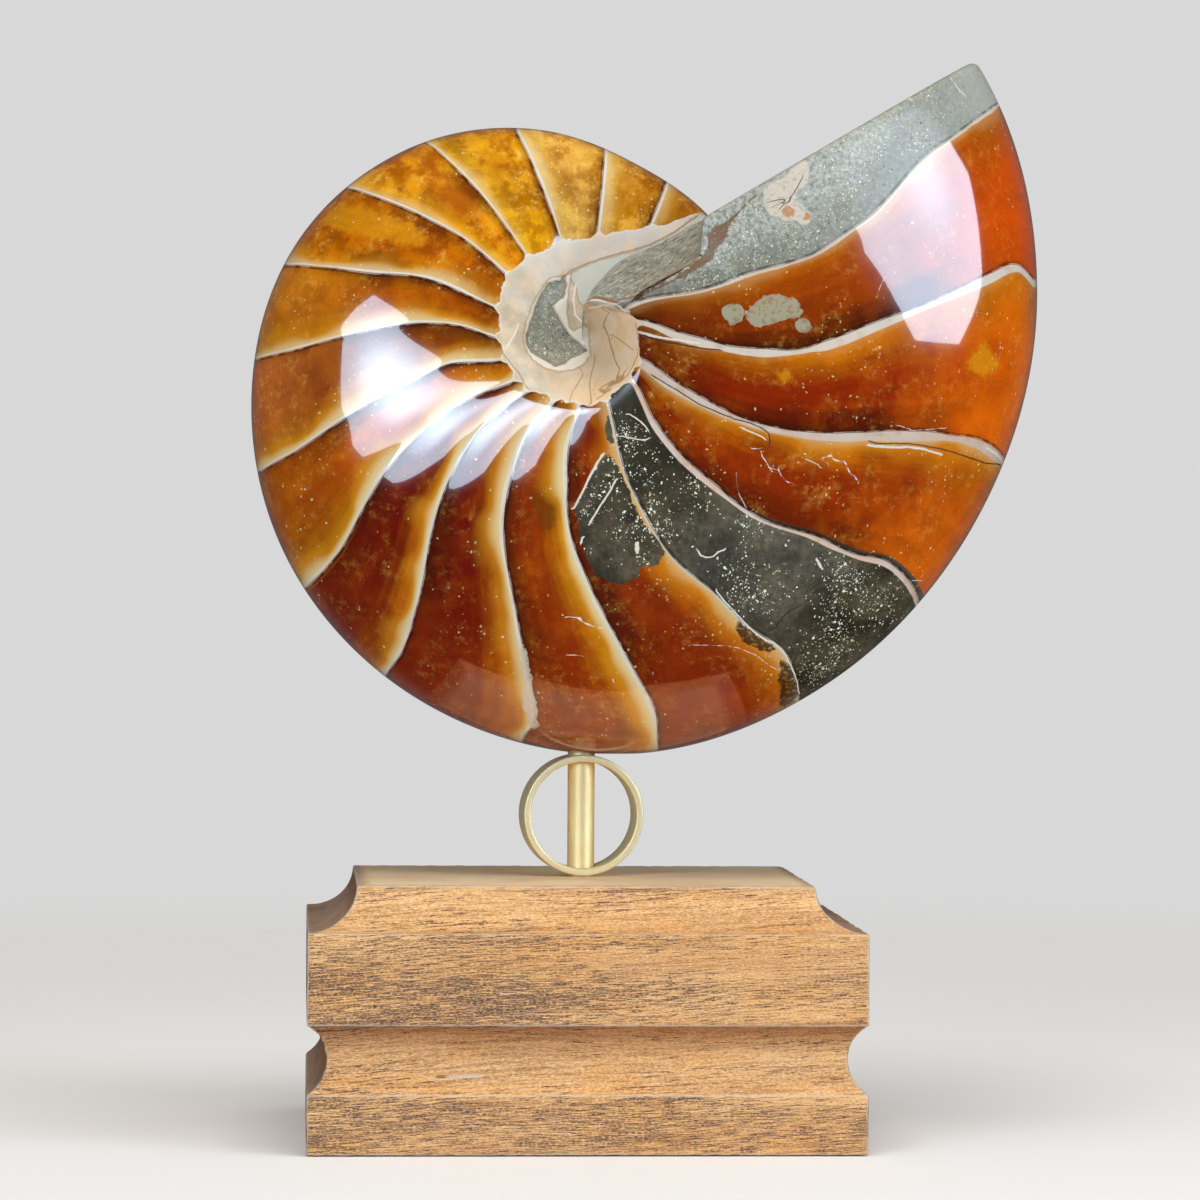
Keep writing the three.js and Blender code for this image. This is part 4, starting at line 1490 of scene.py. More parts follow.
PATCHES: tuple[Marking, ...] = (
    Marking(
        "grey_patch",
        front=(
            ((3.1, -21), (2.1, -22.3), (0.2, -26.4), (-1.6, -30.4), (-1.2, -32.7), (-0.6, -36.3),
             (0.4, -39.1), (1.5, -41.7), (2.4, -43.5), (3.3, -42.9), (4.2, -43.6), (5.1, -44.2),
             (6.2, -44.2), (7.3, -44), (8.2, -43.4), (9.6, -43.2), (10.1, -42), (10.3, -40.9),
             (11.6, -40.9), (12.8, -41), (13.7, -40.3), (14.6, -38.5), (13.8, -37.1), (12.2, -34.9),
             (10.5, -32.6), (9, -30.3), (6.6, -24.6), (4.7, -21)),
            ((3.2, -15.7), (3.9, -13.9), (4.4, -14.6), (4.9, -16.9), (5.1, -19), (4.3, -19.2),
             (3.6, -17.4)),
        ),
        back=(
            ((-36, -20), (-30, -16), (-24, -20), (-22, -27), (-27, -33), (-34, -31), (-38, -26)),
            ((12, -50), (20, -47), (24, -53), (19, -60), (12, -58)),
        ),
    ),
    Marking(
        "pale_zone",
        front=(
            ((-2.6, 12.1), (-0.3, 13.4), (3.4, 15), (8, 16.3), (12.5, 17.6), (17.3, 20.4), (22, 24.2),
             (26, 24), (20, 12), (8, 4), (0.3, 6.2), (-0.8, 7.5), (-1.1, 9.3), (-1.8, 11.2)),
        ),
    ),
    Marking(
        "plug_rim",
        front=(
            ((-6.3, 11.2), (-8.1, 8.4), (-9.4, 5.8), (-10.2, 3.6), (-10.8, 0.8), (-10.8, -1.4),
             (-9.3, -3.8), (-7, -5.4), (-4.3, -5.9), (-1.5, -5.5), (0.4, -4.1), (1.3, -2.6), (1.4, 0.1),
             (1, 2.1), (0, 2.7), (-1, 2.3), (-1.5, 1.8), (-2.6, 2.7), (-2.8, 4.7), (-2.7, 7.4),
             (-2.3, 10.2), (-2, 12.4)),
        ),
        back=(
            ((-7, 7), (0, 11), (6, 6), (5, -4), (0, -8), (-7, -6), (-10, 0)),
        ),
    ),
    Marking(
        "plug",
        front=(
            ((-2.9, 12.4), (-4.1, 10.9), (-6.3, 10.5), (-7.8, 7.9), (-8.7, 5.5), (-9.6, 2.7),
             (-10.3, 0.8), (-10.4, -1), (-9.5, -2.3), (-7.8, -3.3), (-6, -4.2), (-5.1, -4.8), (-3.2, -4),
             (-1.9, -3), (-0.4, -2.4), (0.8, -1.7), (0.3, -0.8), (-1.3, 0.1), (-2.6, 1.4), (-3.7, 3.2),
             (-4.8, 5), (-5.5, 6.3), (-4.6, 7), (-3.5, 8), (-3, 9.3), (-2.8, 10.6)),
        ),
        back=(
            ((-5, 6), (1, 8), (4, 3), (2, -4), (-4, -5), (-7, 0)),
        ),
    ),
    Marking(
        "burnt",
        front=(
            ((28.1, -50.9), (29.6, -51.6), (31.6, -53.1), (33.5, -54.4), (34.8, -55.1), (36.2, -55.7),
             (35.5, -56.6), (34.2, -56.4), (32.3, -56), (30.3, -55.1), (28.8, -53.8), (28, -52.4)),
            ((36.7, -58.2), (38.1, -58.4), (39.4, -60.1), (40.4, -62.5), (40.9, -64.1), (40.5, -65.6),
             (38.5, -66.6), (37.2, -66), (36.8, -63.1), (36.7, -60.6)),
            ((8.2, 6.6), (9.6, 8.3), (12.5, 9.9), (17, 12.6), (16.6, 12), (12.6, 9.3), (9.8, 7.7),
             (8.6, 6.3)),
        ),
        back=(
            ((40, -30), (47, -27), (52, -33), (49, -40), (43, -37)),
        ),
    ),
    Marking(
        "brown_strip",
        front=(
            ((7.9, 6.1), (9.4, 7.8), (11.5, 8.8), (13.7, 10), (16.4, 11.6), (18.2, 13.1), (19.9, 14.3),
             (21, 15.4), (21.2, 16.8), (21, 18.1), (21.5, 19.2), (22.6, 20.1), (23.9, 20.6),
             (25.1, 21.4), (26.8, 23.2), (28.6, 25), (30.2, 26.1), (32.2, 27.6), (32.6, 27.1),
             (30.8, 25.6), (29.3, 24.1), (28, 22.7), (26.8, 21.4), (25.6, 20.5), (25.3, 18.7),
             (24.6, 17.2), (23.5, 16), (22.6, 14.9), (22.2, 13.6), (20.8, 12.5), (18.7, 11.1),
             (16.5, 10), (13.8, 8.9), (11.5, 7.8), (9.3, 6.5), (8, 5.5)),
        ),
    ),
    Marking(
        "amber_patch",
        front=(
            ((-47.3, 21.9), (-45.9, 24.5), (-43.1, 25.3), (-39.5, 24.2), (-35.9, 23), (-31.4, 20.7),
             (-28.1, 18.4), (-28.9, 17), (-32.3, 17.3), (-35.9, 18.1), (-38.6, 18.5), (-41.9, 19.7),
             (-44.8, 20.2)),
            ((70.5, -1.6), (72.1, -0.4), (74.1, -0.3), (75.4, -2.1), (76.6, -3.5), (75.9, -5),
             (73.4, -6.2), (71.8, -5.5), (70.5, -3.4)),
            ((34.4, -5.9), (35.9, -5.5), (36.7, -7), (35.6, -8), (34.3, -7.3)),
        ),
        back=(
            ((-50, 10), (-42, 16), (-36, 12), (-41, 6)),
            ((20, -66), (28, -62), (30, -67), (23, -70)),
        ),
    ),
    Marking(
        "brown_patch",
        front=(
            ((-41.9, 16.3), (-36.8, 15.9), (-31.4, 14), (-32.3, 10.7), (-38.6, 11.5), (-42.2, 13.4)),
            ((-9.8, -28.2), (-7.1, -27), (-4.5, -25.2), (-3, -27.3), (-4.4, -32.7), (-6.5, -35.4),
             (-8.3, -32.7)),
            ((-26, 1.5), (-20.6, 1.9), (-16.6, 0.8), (-16.1, -1.2), (-20.6, -1.2)),
        ),
        back=(
            ((-20, 30), (-12, 34), (-8, 28), (-15, 24)),
        ),
    ),
    Marking(
        "bloom",
        front=(
            ((23.9, 4.8), (24.6, 5.7), (25.7, 5.9), (26.4, 6.2), (27.5, 5.9), (28.2, 5.2), (28.1, 4),
             (27.4, 3.1), (26.4, 2.9), (26.1, 2), (25.4, 2.1), (25.2, 3), (24.3, 3.5)),
            ((28.4, 4.1), (29.1, 5.6), (30.2, 6.1), (30.9, 7), (32, 7.8), (33.1, 7.6), (33.8, 8.2),
             (35.3, 7.8), (36, 7.1), (37.3, 7.5), (38.2, 6.6), (38.1, 5.6), (38.8, 4.9), (38.1, 3.8),
             (36.4, 3.9), (35.2, 3.2), (33.9, 2.8), (32.5, 2.4), (31, 1.9), (29.5, 2.2), (28.8, 3.1)),
            ((37, 2.7), (37.7, 3.6), (39, 3.8), (40.1, 3.1), (40.5, 2.2), (39.8, 1.3), (38.3, 1.3),
             (37.4, 1.8)),
        ),
        back=(
            ((30, 2), (35, 4), (41, 3), (42, -1), (36, -2), (31, -1)),
            ((20, -30), (24, -28), (25, -32), (21, -33)),
        ),
    ),
    Marking(
        "flake",
        front=(
            ((31.1, 26.9), (31.5, 25.6), (31.7, 23.8), (32.2, 22.6), (33.5, 21.9), (34.6, 21.4),
             (35.7, 20.9), (37.6, 21.1), (38.8, 20.2), (39.2, 21), (40.3, 21.5), (40.1, 22.6),
             (39, 22.9), (38.6, 24.2), (37.5, 24.9), (36.8, 25.8), (37.5, 26.7), (39, 27.2),
             (39.6, 28.9), (40.1, 30.3), (39.9, 31.6), (38.9, 32.2), (38, 31.4), (36.8, 30.3),
             (35.5, 29.3), (34.1, 28.4), (32.6, 27.3)),
            ((-10.6, -55.2), (-9.6, -58.6), (-8.6, -62.6), (-7.6, -66.6), (-7.3, -70.5), (-8.6, -71.2),
             (-9.4, -69), (-10.4, -66.2), (-10.2, -62.5), (-11, -58.9)),
        ),
        back=(
            ((-30, 34), (-25, 37), (-21, 33), (-24, 29), (-29, 30)),
        ),
    ),
    Marking(
        "ochre",
        front=(
            ((35, 23.6), (36.3, 24), (37.4, 23.2), (37.4, 22), (35.9, 21.6), (34.8, 22.3)),
            ((38.6, 21.6), (39.4, 22.6), (40.2, 22.2), (39.8, 21.2)),
        ),
    ),
)

# Thickly grained places in the grey fills: x, z and reach from the umbilicus.
GRAIN_CLUSTERS: tuple[tuple[float, float, float], ...] = (
    (4.1, -24.1, 2.6), (2.4, -30.5, 2.2), (0.6, -32, 2), (7.3, -34.8, 2.2), (12.2, -39.1, 2.4),
    (8.3, -16.5, 2.4), (8.3, -19.7, 2.4), (11.3, -24.5, 2.2), (12.1, -29.9, 2), (13, -33.5, 2.2),
    (14.3, -35.8, 2), (18.9, -26.3, 2), (28.8, -44.2, 3.4), (33.1, -45.1, 3.4), (49.4, -44.6, 4.6),
    (47.7, -48.3, 4), (46.6, -54.6, 3.2), (43.6, -59.4, 3.4), (56.2, -48.7, 3), (27.4, -42.4, 3),
    (20.7, -29, 2), (29.9, -33.4, 2.4), (19.9, 11.6, 3.2), (23.6, 15.6, 4.4), (28.1, 18.4, 4.8),
    (32.6, 18, 4), (38.1, 16.7, 3.2), (43.6, 26.8, 5), (47.3, 31, 5), (52, 37, 3.6), (57, 43, 3),
    (62, 47.6, 3), (67, 50.6, 3), (72, 53, 3), (36, 26, 3), (60, 36, 3), (29.5, -24.5, 1.6),
    (32, -30, 1.4), (45, -22, 1.4), (47, -26.6, 1.4), (5, -27, 2.4), (9, -33, 2.4),
)

VEINS: tuple[Stroke, ...] = (
    Stroke(((51.4, -18.9), (55.5, -19.1), (59.3, -19), (62.3, -19.4), (65.2, -20.1)), 0.5),
    Stroke(((28, -15.9), (30.5, -17), (32.4, -17.9)), 0.3),
    Stroke(((74.8, -18.9), (76.8, -19.8), (78.4, -20.9), (78.9, -22)), 0.6),
    Stroke(((9.3, 0.9), (11.8, 0.2), (15.4, -0.4), (19.9, -1)), 0.6),
    Stroke(((3.1, -21), (2.1, -22.5), (0.5, -25.5), (-0.7, -28.2), (-1.9, -30.5)), 0.55),
    Stroke(((5.5, -25.5), (4.3, -27.8), (2.7, -30.3), (1, -33.2)), 0.38),
    Stroke(((7.7, -13.7), (9.1, -14.4), (10.4, -15.4), (11.5, -16.9)), 0.26),
    Stroke(((11.2, -18), (10.6, -18.3), (8.8, -18.1), (6.5, -17.6)), 0.22),
    Stroke(((9.5, -36.9), (9.5, -38.3)), 1.1),
    Stroke(((-0.4, -35.9), (-0.6, -36.8)), 0.6),
    Stroke(((20.5, -37.9), (21.1, -38.9), (22.3, -39.4), (23.5, -39.1), (24.3, -38.2), (25.4, -37.9)), 0.3),
    Stroke(((42.6, -39.6), (43.4, -41)), 0.6),
    Stroke(((24.1, -45.3), (25.8, -47.3), (27.7, -49.3), (29.6, -51.1), (31.5, -52.9), (33.5, -54.2),
            (35.2, -54.7), (36.6, -55.8), (37.8, -57.3), (38.9, -59.3), (40.2, -62), (40.8, -63.9)), 0.3),
    Stroke(((-11.8, 2.6), (-12.6, 0.6), (-14, -1.6)), 0.3),
    Stroke(((-1, 10.4), (-1.6, 7.6), (-1.2, 4.6), (0.2, 3.2)), 0.4),
    Stroke(((0.6, 5.2), (3, 5.7), (4.9, 5.7), (6.6, 4.6)), 0.35),
)
SEAMS: tuple[Stroke, ...] = (
    Stroke(((3.7, 3.8), (3.4, 2.5), (4.3, 0.8), (4.9, -1.9), (5.5, -4.1), (6.1, -5.6), (5.4, -7.4),
            (2.7, -8.9), (0.9, -10.7)), 0.24),
    Stroke(((4.8, 0.8), (6, -0.2), (8.3, -2.1)), 0.16),
    Stroke(((2, -2.8), (2, -4), (1.3, -6), (0.8, -8.3), (0.9, -10.3)), 0.2),
    Stroke(((-0.6, -5.1), (-0.1, -6.4), (-1.1, -7.9), (-2.4, -9.8), (-2.9, -11.5)), 0.16),
    Stroke(((-3.5, 11.7), (-2.2, 12.8), (-0.3, 13.7), (3.4, 15.2), (8, 16.6), (12.5, 17.9), (17.3, 20.6),
            (21.7, 23.7)), 0.26),
    Stroke(((8.6, 2.2), (9.3, -1.2), (9, -3.4), (7.6, -6.6), (4.5, -9.3), (0.1, -12.4)), 0.16),
    Stroke(((-14.6, -2.9), (-12, -6.2), (-10.4, -8.9)), 0.2),
    Stroke(((3, 5.1), (4.2, 4.5), (3.5, 3.7), (3.3, 2.2)), 0.14),
)
CRACKS: tuple[Stroke, ...] = (
    Stroke(((11.5, -6.6), (20.6, -12), (26.8, -14.5), (29.5, -15.1), (31.4, -15.9), (32.9, -16.8)), 0.26),
    Stroke(((32.9, -16.8), (33.2, -17.7), (33.1, -19.3)), 0.3),
    Stroke(((51.7, -18.2), (53.6, -18.6), (56.5, -18.4), (59.3, -18.4), (62.2, -18.8), (65.2, -19.2),
            (68.2, -19.9), (71.3, -20.7), (74.5, -21.6), (78, -21.7)), 0.3),
    Stroke(((9.6, 0.3), (14.2, -0.9), (19.9, -1.8), (24.1, -2.2)), 0.24),
    Stroke(((34.1, -52.7), (35.2, -52), (36.1, -50.9), (37, -49.6), (38.2, -48.7), (39.7, -48)), 0.22),
    Stroke(((7.8, 6.3), (9.4, 8.1), (11.5, 9.1), (13.7, 10.3), (16.4, 11.9), (18.2, 13.4), (19.9, 14.6)),
           0.4),
    Stroke(((34.2, 23), (37, 26), (38.6, 29)), 0.12),
    Stroke(((32.4, 24.4), (34.6, 24.9), (36.4, 24.6)), 0.12),
)
SCRATCHES: tuple[Stroke, ...] = (
    Stroke(((43.2, -21.2), (43.8, -20.8), (44.5, -20.6), (45.1, -21.5), (45.9, -21.7), (47.3, -21.7),
            (47.6, -22.8), (48.3, -24.2), (49.1, -24.5), (49.7, -25.4)), 0.34),
    Stroke(((31.8, -20.8), (32.6, -22), (33.3, -23.1), (33.7, -23.6)), 0.22),
    Stroke(((30, -19.6), (31.4, -19.7)), 0.14),
    Stroke(((34.8, -23.1), (35.6, -24.5), (36.3, -25.4), (37.4, -25.8)), 0.15),
    Stroke(((39.4, -21.2), (40.9, -21.9), (42, -22.1), (42.5, -22.8)), 0.14),
    Stroke(((27.2, -24.4), (27.4, -26.2), (27.9, -28), (29, -30.1)), 0.12),
    Stroke(((19.6, -55.1), (26.1, -55.3), (28.9, -55.8), (31.8, -56.9), (34.3, -58.8), (36.5, -59.9)), 0.1),
    Stroke(((61.1, -43.3), (62.8, -43.1)), 0.16),
    Stroke(((67.2, 48.6), (68.3, 47), (70, 45.3)), 0.22),
    Stroke(((-2.9, -50.1), (-0.4, -50.3)), 0.2),
    Stroke(((-0.2, -51), (1.2, -51.4)), 0.24),
    Stroke(((1, -51.6), (3.4, -52.2)), 0.26),
    Stroke(((-2.4, -57), (0, -57.2)), 0.16),
    Stroke(((5.8, -61.5), (6.1, -62.5)), 0.2),
    Stroke(((52.6, 8.6), (54.4, 12.6)), 0.14),
    Stroke(((56.9, -15.2), (60, -16), (66, -15.4)), 0.1),
)


# ---------------------------------------------------------------- the pieces


@dataclass
class Nautilus:
    """The fossil: one stone with a polished flank and a sawn end."""

    coil: Coil = field(default_factory=Coil)
    sections: int = 466
    last_rows: int = 10
    corner_rows: int = 6
    face_rows: int = 24
    hollow_columns: int = 22
    flank_columns: int = 112
    shared_columns: int = 14  # of the flank next to the venter; further in, the back keeps one in four
    ripple: float = 0.034  # how far the chambers swell between their septa, as a share of their length
    ripples_from: float = 8.0  # up to this chamber the flank is nearly level
    level_from: float = 12.5  # and from this one on too
    swell_limits: Place = (0.03, 0.34)  # millimetres
    lowest_swell: float = 0.83  # how far below the polished flank the septa lie, as a share of the swell
    plug_depth: float = 0.5
    hole_x: float = 0.6
    hole_diameter: float = 5.6
    hole_depth: float = 10.0
    sharp_degrees: float = 50.0
    pitch_limits: Place = (0.5, 40.0)  # millimetres for one step of the chamber coordinate
    chamber_limits: Place = (0.35, LAST_SEPTUM + 0.6)
    usual_grains: float = 0.03
    cluster_grains: float = 0.66
    most_grains: float = 0.85

    def build(self) -> bpy.types.Object:
        """Builds and dresses the shell.

        Returns:
            The piece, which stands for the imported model's node.
        """
        points, angle, share, cut = self.grid()
        fields = self.fields(points, angle, share, cut)
        points = self.swell(points, fields, cut)
        lowest, highest = (np.array(corner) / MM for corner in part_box("nautilus"))
        both = np.clip(self.both_sides(points), lowest, highest)
        rows, row_length = both.shape[:2]
        coil = self.coil
        poles = np.array([[coil.x, side * coil.hollow_height, coil.z] for side in (-1.0, 1.0)])
        vertices = np.concatenate([both.reshape(-1, 3), poles]) * MM
        piece = mesh_piece("nautilus_shell", vertices, self.faces(rows, row_length))
        for name, values in fields.items():
            flat = values.reshape(rows * row_length, *values.shape[2:])
            ends = np.stack([flat[0], flat[row_length - 1]])
            store(piece.data, name, np.concatenate([flat, ends]))
        first_cut = int(np.argmax(cut > 0.0)) - 1
        face_rows = np.concatenate([np.repeat(np.arange(rows), each) for each in (row_length - 1, 2)])
        piece.data.polygons.foreach_set("material_index", (face_rows >= first_cut).astype(np.int32))
        self.drill(piece)
        return dress(piece, self.sharp_degrees, POLISHED_SHELL, SAWN_STONE)

    def grid(self) -> tuple[Array, Array, Array, Array]:
        """Lays the grid over the side that faces -Y, from the middle out to the venter.

        Returns:
            The points, their angles about the umbilicus, their shares of the radius, and for
            each row how far it is across the cut end, from 0 at its edge to 1.
        """
        coil = self.coil
        inward = np.arange(1, self.hollow_columns + 1) / self.hollow_columns
        outward = np.arange(1, self.flank_columns + 1) / self.flank_columns
        hollow = np.concatenate([inward, np.ones(self.flank_columns)])
        flank = np.concatenate([np.zeros(self.hollow_columns), outward])
        before_end = coil.end - coil.section_step
        plain = np.linspace(coil.start, before_end, self.sections)[:, None] + np.zeros(len(hollow))
        edge = coil.surface(np.full(len(hollow), coil.end), hollow, flank)[0]
        before = coil.surface(np.full(len(hollow), before_end), hollow, flank)[0]
        first = coil.surface(np.full(len(hollow), coil.start), hollow, flank)[0]
        to_before, to_first = (np.linalg.norm(other - edge, axis=1) for other in (before, first))
        reach = np.minimum(coil.edge_radius, np.minimum(to_before, to_first) / 3.0)
        meet = coil.end - coil.section_step * reach / to_before
        share_of_step = np.arange(1, self.last_rows + 1)[:, None] / self.last_rows
        closing = before_end + (meet - before_end) * share_of_step
        points, angle, share = coil.surface(np.concatenate([plain, closing]), hollow, flank)
        last, on_face = points[-1], edge + (first - edge) * (reach / to_first)[:, None]
        t = (np.arange(1, self.corner_rows + 1) / self.corner_rows)[:, None, None]
        corner = (1 - t) ** 2 * last + 2 * t * (1 - t) * edge + t**2 * on_face
        part = np.arange(1, self.face_rows + 1) / (self.face_rows + 1)
        face = on_face + (first - on_face) * part[:, None, None]
        extra = np.concatenate([corner, face])
        spoke = np.stack([extra[..., 0] - coil.x, extra[..., 2] - coil.z])
        extra_angle = np.degrees(np.arctan2(spoke[1], spoke[0])) % 360.0 + 360.0
        extra_share = np.linalg.norm(spoke, axis=0) / coil.radius(np.array(coil.end))
        cut = np.concatenate([np.zeros(len(points) + self.corner_rows), part])
        everything = np.concatenate([points, extra])
        return everything, np.concatenate([angle, extra_angle]), np.concatenate([share, extra_share]), cut

    def both_sides(self, values: Array, mirrored: bool = True) -> Array:
        """Continues rows over the venter to the other side.

        Args:
            values: Points, or other values, of the front side.
            mirrored: Whether they are points, whose Y changes its sign.

        Returns:
            The longer rows.
        """
        back = values[:, self.back_columns()].copy()
        if mirrored:
            back[..., 1] *= -1.0
        return np.concatenate([values, back], axis=1)

    def back_columns(self) -> Array:
        """The columns that the back has too.

        Returns:
            Their numbers from the venter in: all those near it, then one in four.
        """
        last = self.hollow_columns + self.flank_columns - 1
        close = np.arange(last - 1, last - self.shared_columns - 1, -1)
        return np.concatenate([close, np.arange(close[-1] - 4, 0, -4), [0]])

    def faces(self, rows: int, row_length: int) -> list[tuple[int, ...]]:
        """The faces round the coil and over its cut end.

        Args:
            rows: How many rows there are.
            row_length: How many points each has.

        Returns:
            Quads, row by row, then the triangles at the two middles.
        """
        quads, caps = [], []
        front_pole, back_pole = rows * row_length, rows * row_length + 1
        for row in range(rows):
            here, onward = row * row_length, (row + 1) % rows * row_length
            quads += [(here + c, here + c + 1, onward + c + 1, onward + c) for c in range(row_length - 1)]
            caps.append((front_pole, here, onward))
            caps.append((back_pole, onward + row_length - 1, here + row_length - 1))
        return quads + caps

    def chamber_of(self, angle: Array, share: Array) -> Array:
        """The chamber coordinate: a whole number on each septum, rising along the coil.

        Args:
            angle: Angles about the umbilicus.
            share: Shares of the radius.

        Returns:
            One number for each place.
        """
        lines = []
        for septum in SEPTA:
            angles, shares = np.asarray(septum, float)[::-1].T
            lines.append(smooth_through(shares, angles, share))
        edges = np.stack(lines)
        passed = (angle >= edges).sum(axis=0)
        around = (np.maximum(passed - 1, 0), np.minimum(passed, len(SEPTA) - 1))
        lower, upper = (np.take_along_axis(edges, which[None], 0)[0] for which in around)
        inside = passed + (angle - lower) / np.maximum(upper - lower, 1e-6)
        inside = np.where(passed == 0, 1.0 - (edges[0] - angle) / FIRST_SPAN, inside)
        inside = np.where(passed == len(SEPTA), len(SEPTA) + (angle - edges[-1]) / LAST_SPAN, inside)
        return np.clip(inside, *self.chamber_limits)

    def pitch_of(self, points: Array, chamber: Array) -> Array:
        """Measures the chambers along the surface.

        Args:
            points: The grid of the front side.
            chamber: The chamber coordinate of each point.

        Returns:
            Millimetres for one step of the chamber coordinate.
        """
        by_row, by_column = (np.gradient(points, axis=axis) for axis in (0, 1))
        rise_row, rise_column = (np.gradient(chamber, axis=axis) for axis in (0, 1))
        rr, rc, cc = (by_row * by_row).sum(-1), (by_row * by_column).sum(-1), (by_column * by_column).sum(-1)
        slope = rise_row**2 * cc - 2 * rise_row * rise_column * rc + rise_column**2 * rr
        slope = slope / np.maximum(rr * cc - rc**2, TINY)
        return np.clip(1.0 / np.sqrt(np.maximum(slope, 1e-6)), *self.pitch_limits)

    def fields(self, points: Array, angle: Array, share: Array, cut: Array) -> dict[str, Array]:
        """Works out what the shaders read, for every vertex of both sides.

        Args:
            points: The grid of the front side.
            angle: Angles about the umbilicus.
            share: Shares of the radius.
            cut: How far each row is across the cut end.

        Returns:
            Arrays by attribute name.
        """
        coil = self.coil
        chamber = self.chamber_of(angle, share)
        pitch = self.pitch_of(points, chamber)
        outer = coil.radius(np.clip(angle, coil.start, coil.end))
        edge_angles, edge_shares = np.asarray(NACRE_EDGE, float).T
        nacre = (share - smooth_through(edge_angles, edge_shares, angle)) * outer
        flank = np.stack([points[..., 0] - coil.x, points[..., 2] - coil.z], axis=-1)
        plane = flank.reshape(-1, 2)
        grains = np.full(len(plane), self.usual_grains)
        for x, z, reach in GRAIN_CLUSTERS:
            away = np.linalg.norm(plane - (x, z), axis=1) / reach
            grains += self.cluster_grains * np.exp(-away * away)
        grains = np.minimum(grains, self.most_grains).reshape(share.shape)
        across = np.repeat(cut[:, None], points.shape[1], axis=1)
        width = np.linalg.norm(points[0] - points[-self.face_rows - 1], axis=-1)
        mirrored = {
            "chamber": chamber, "pitch": pitch, "share": share, "nacre": nacre, "grains": grains,
            "flank": np.concatenate([flank, np.zeros((*flank.shape[:2], 1))], axis=-1),
            "across_cut": across, "from_edge": across * width,
        }
        made = {name: self.both_sides(values, mirrored=False) for name, values in mirrored.items()}
        for marking in PATCHES:
            sides = []
            for outlines in (marking.front, [weathered(outline) for outline in marking.back]):
                distances = [inside_distance(plane, outline) for outline in outlines]
                sides.append(np.minimum.reduce([np.full(len(plane), FAR), *distances]).reshape(share.shape))
            made[marking.name] = np.concatenate([sides[0], sides[1][:, self.back_columns()]], axis=1)
        bare = np.tile(NO_STROKE, (len(points), len(self.back_columns()), 1))
        lines = {"veins": VEINS, "seams": SEAMS, "cracks": CRACKS, "scratches": SCRATCHES}
        for name, strokes in lines.items():
            front = stroke_field(plane, strokes).reshape(*share.shape, 3)
            made[name] = np.concatenate([front, bare], axis=1)
        return made

    def swell(self, points: Array, fields: dict[str, Array], cut: Array) -> Array:
        """Moves the surface a little along its normals: swollen chambers and a sunk plug.

        Args:
            points: The grid of the front side.
            fields: What the shaders read there.
            cut: How far each row is across the cut end.

        Returns:
            The moved points.
        """
        by_row, by_column = (np.gradient(points, axis=axis) for axis in (0, 1))
        normal = np.cross(by_column, by_row)
        normal /= np.maximum(np.linalg.norm(normal, axis=-1, keepdims=True), TINY)
        columns = points.shape[1]
        names = ("chamber", "share", "plug", "nacre", "pitch")
        chamber, share, plug, nacre, pitch = (fields[name][:, :columns] for name in names)
        bulge = np.sqrt(np.sin(np.pi * chamber) ** 2 + 0.03) - 0.17
        inside = smooth_step(-1.0, 1.5, nacre) * smooth_step(0.985, 0.86, share) * (cut <= 0.0)[:, None]
        inside = inside * smooth_step(LAST_SEPTUM + 0.3, LAST_SEPTUM - 0.2, chamber)
        late = smooth_step(self.level_from, self.level_from + 1.5, chamber)
        early = smooth_step(self.ripples_from + 1.5, self.ripples_from, chamber)
        rise = np.clip(pitch * self.ripple, *self.swell_limits) * (bulge - self.lowest_swell) * inside
        rise *= (1.0 - 0.85 * late) * (1.0 - 0.75 * early)
        rise -= self.plug_depth * smooth_step(0.4, -0.6, plug)
        return points + normal * rise[..., None]

    def drill(self, piece: bpy.types.Object) -> None:
        """Opens the blind hole for the rod in the underside of the shell.

        Args:
            piece: The shell.
        """
        middle, radius = Vector((self.hole_x * MM, 0.0, 0.0)), self.hole_diameter / 2.0 * MM
        floor = (self.coil.flat_height + self.hole_depth) * MM
        shape = bmesh.new()
        shape.from_mesh(piece.data)

        def spoke(vertex: bmesh.types.BMVert) -> Vector:
            """The way from the hole's axis to a vertex."""
            return Vector((vertex.co.x - middle.x, vertex.co.y, 0.0))

        low = [v for v in shape.verts if v.co.z < floor and spoke(v).length < radius]
        bmesh.ops.delete(shape, geom=low, context="VERTS")
        rim = [edge.link_loops[0] for edge in shape.edges if edge.is_boundary]
        onward, foot = {loop.link_loop_next.vert: loop.vert for loop in rim}, {}
        for vertex in onward:
            out = spoke(vertex).normalized() * radius
            vertex.co.x, vertex.co.y = middle.x + out.x, out.y
            foot[vertex] = shape.verts.new((vertex.co.x, vertex.co.y, floor), vertex)
        for loop in rim:
            ahead, here = loop.link_loop_next.vert, loop.vert
            shape.faces.new((ahead, here, foot[here], foot[ahead]), loop.face)
        end = [next(iter(onward))]
        while len(end) < len(onward):
            end.append(onward[end[-1]])
        shape.faces.new([foot[vertex] for vertex in end], rim[0].face)
        shape.to_mesh(piece.data)
        shape.free()


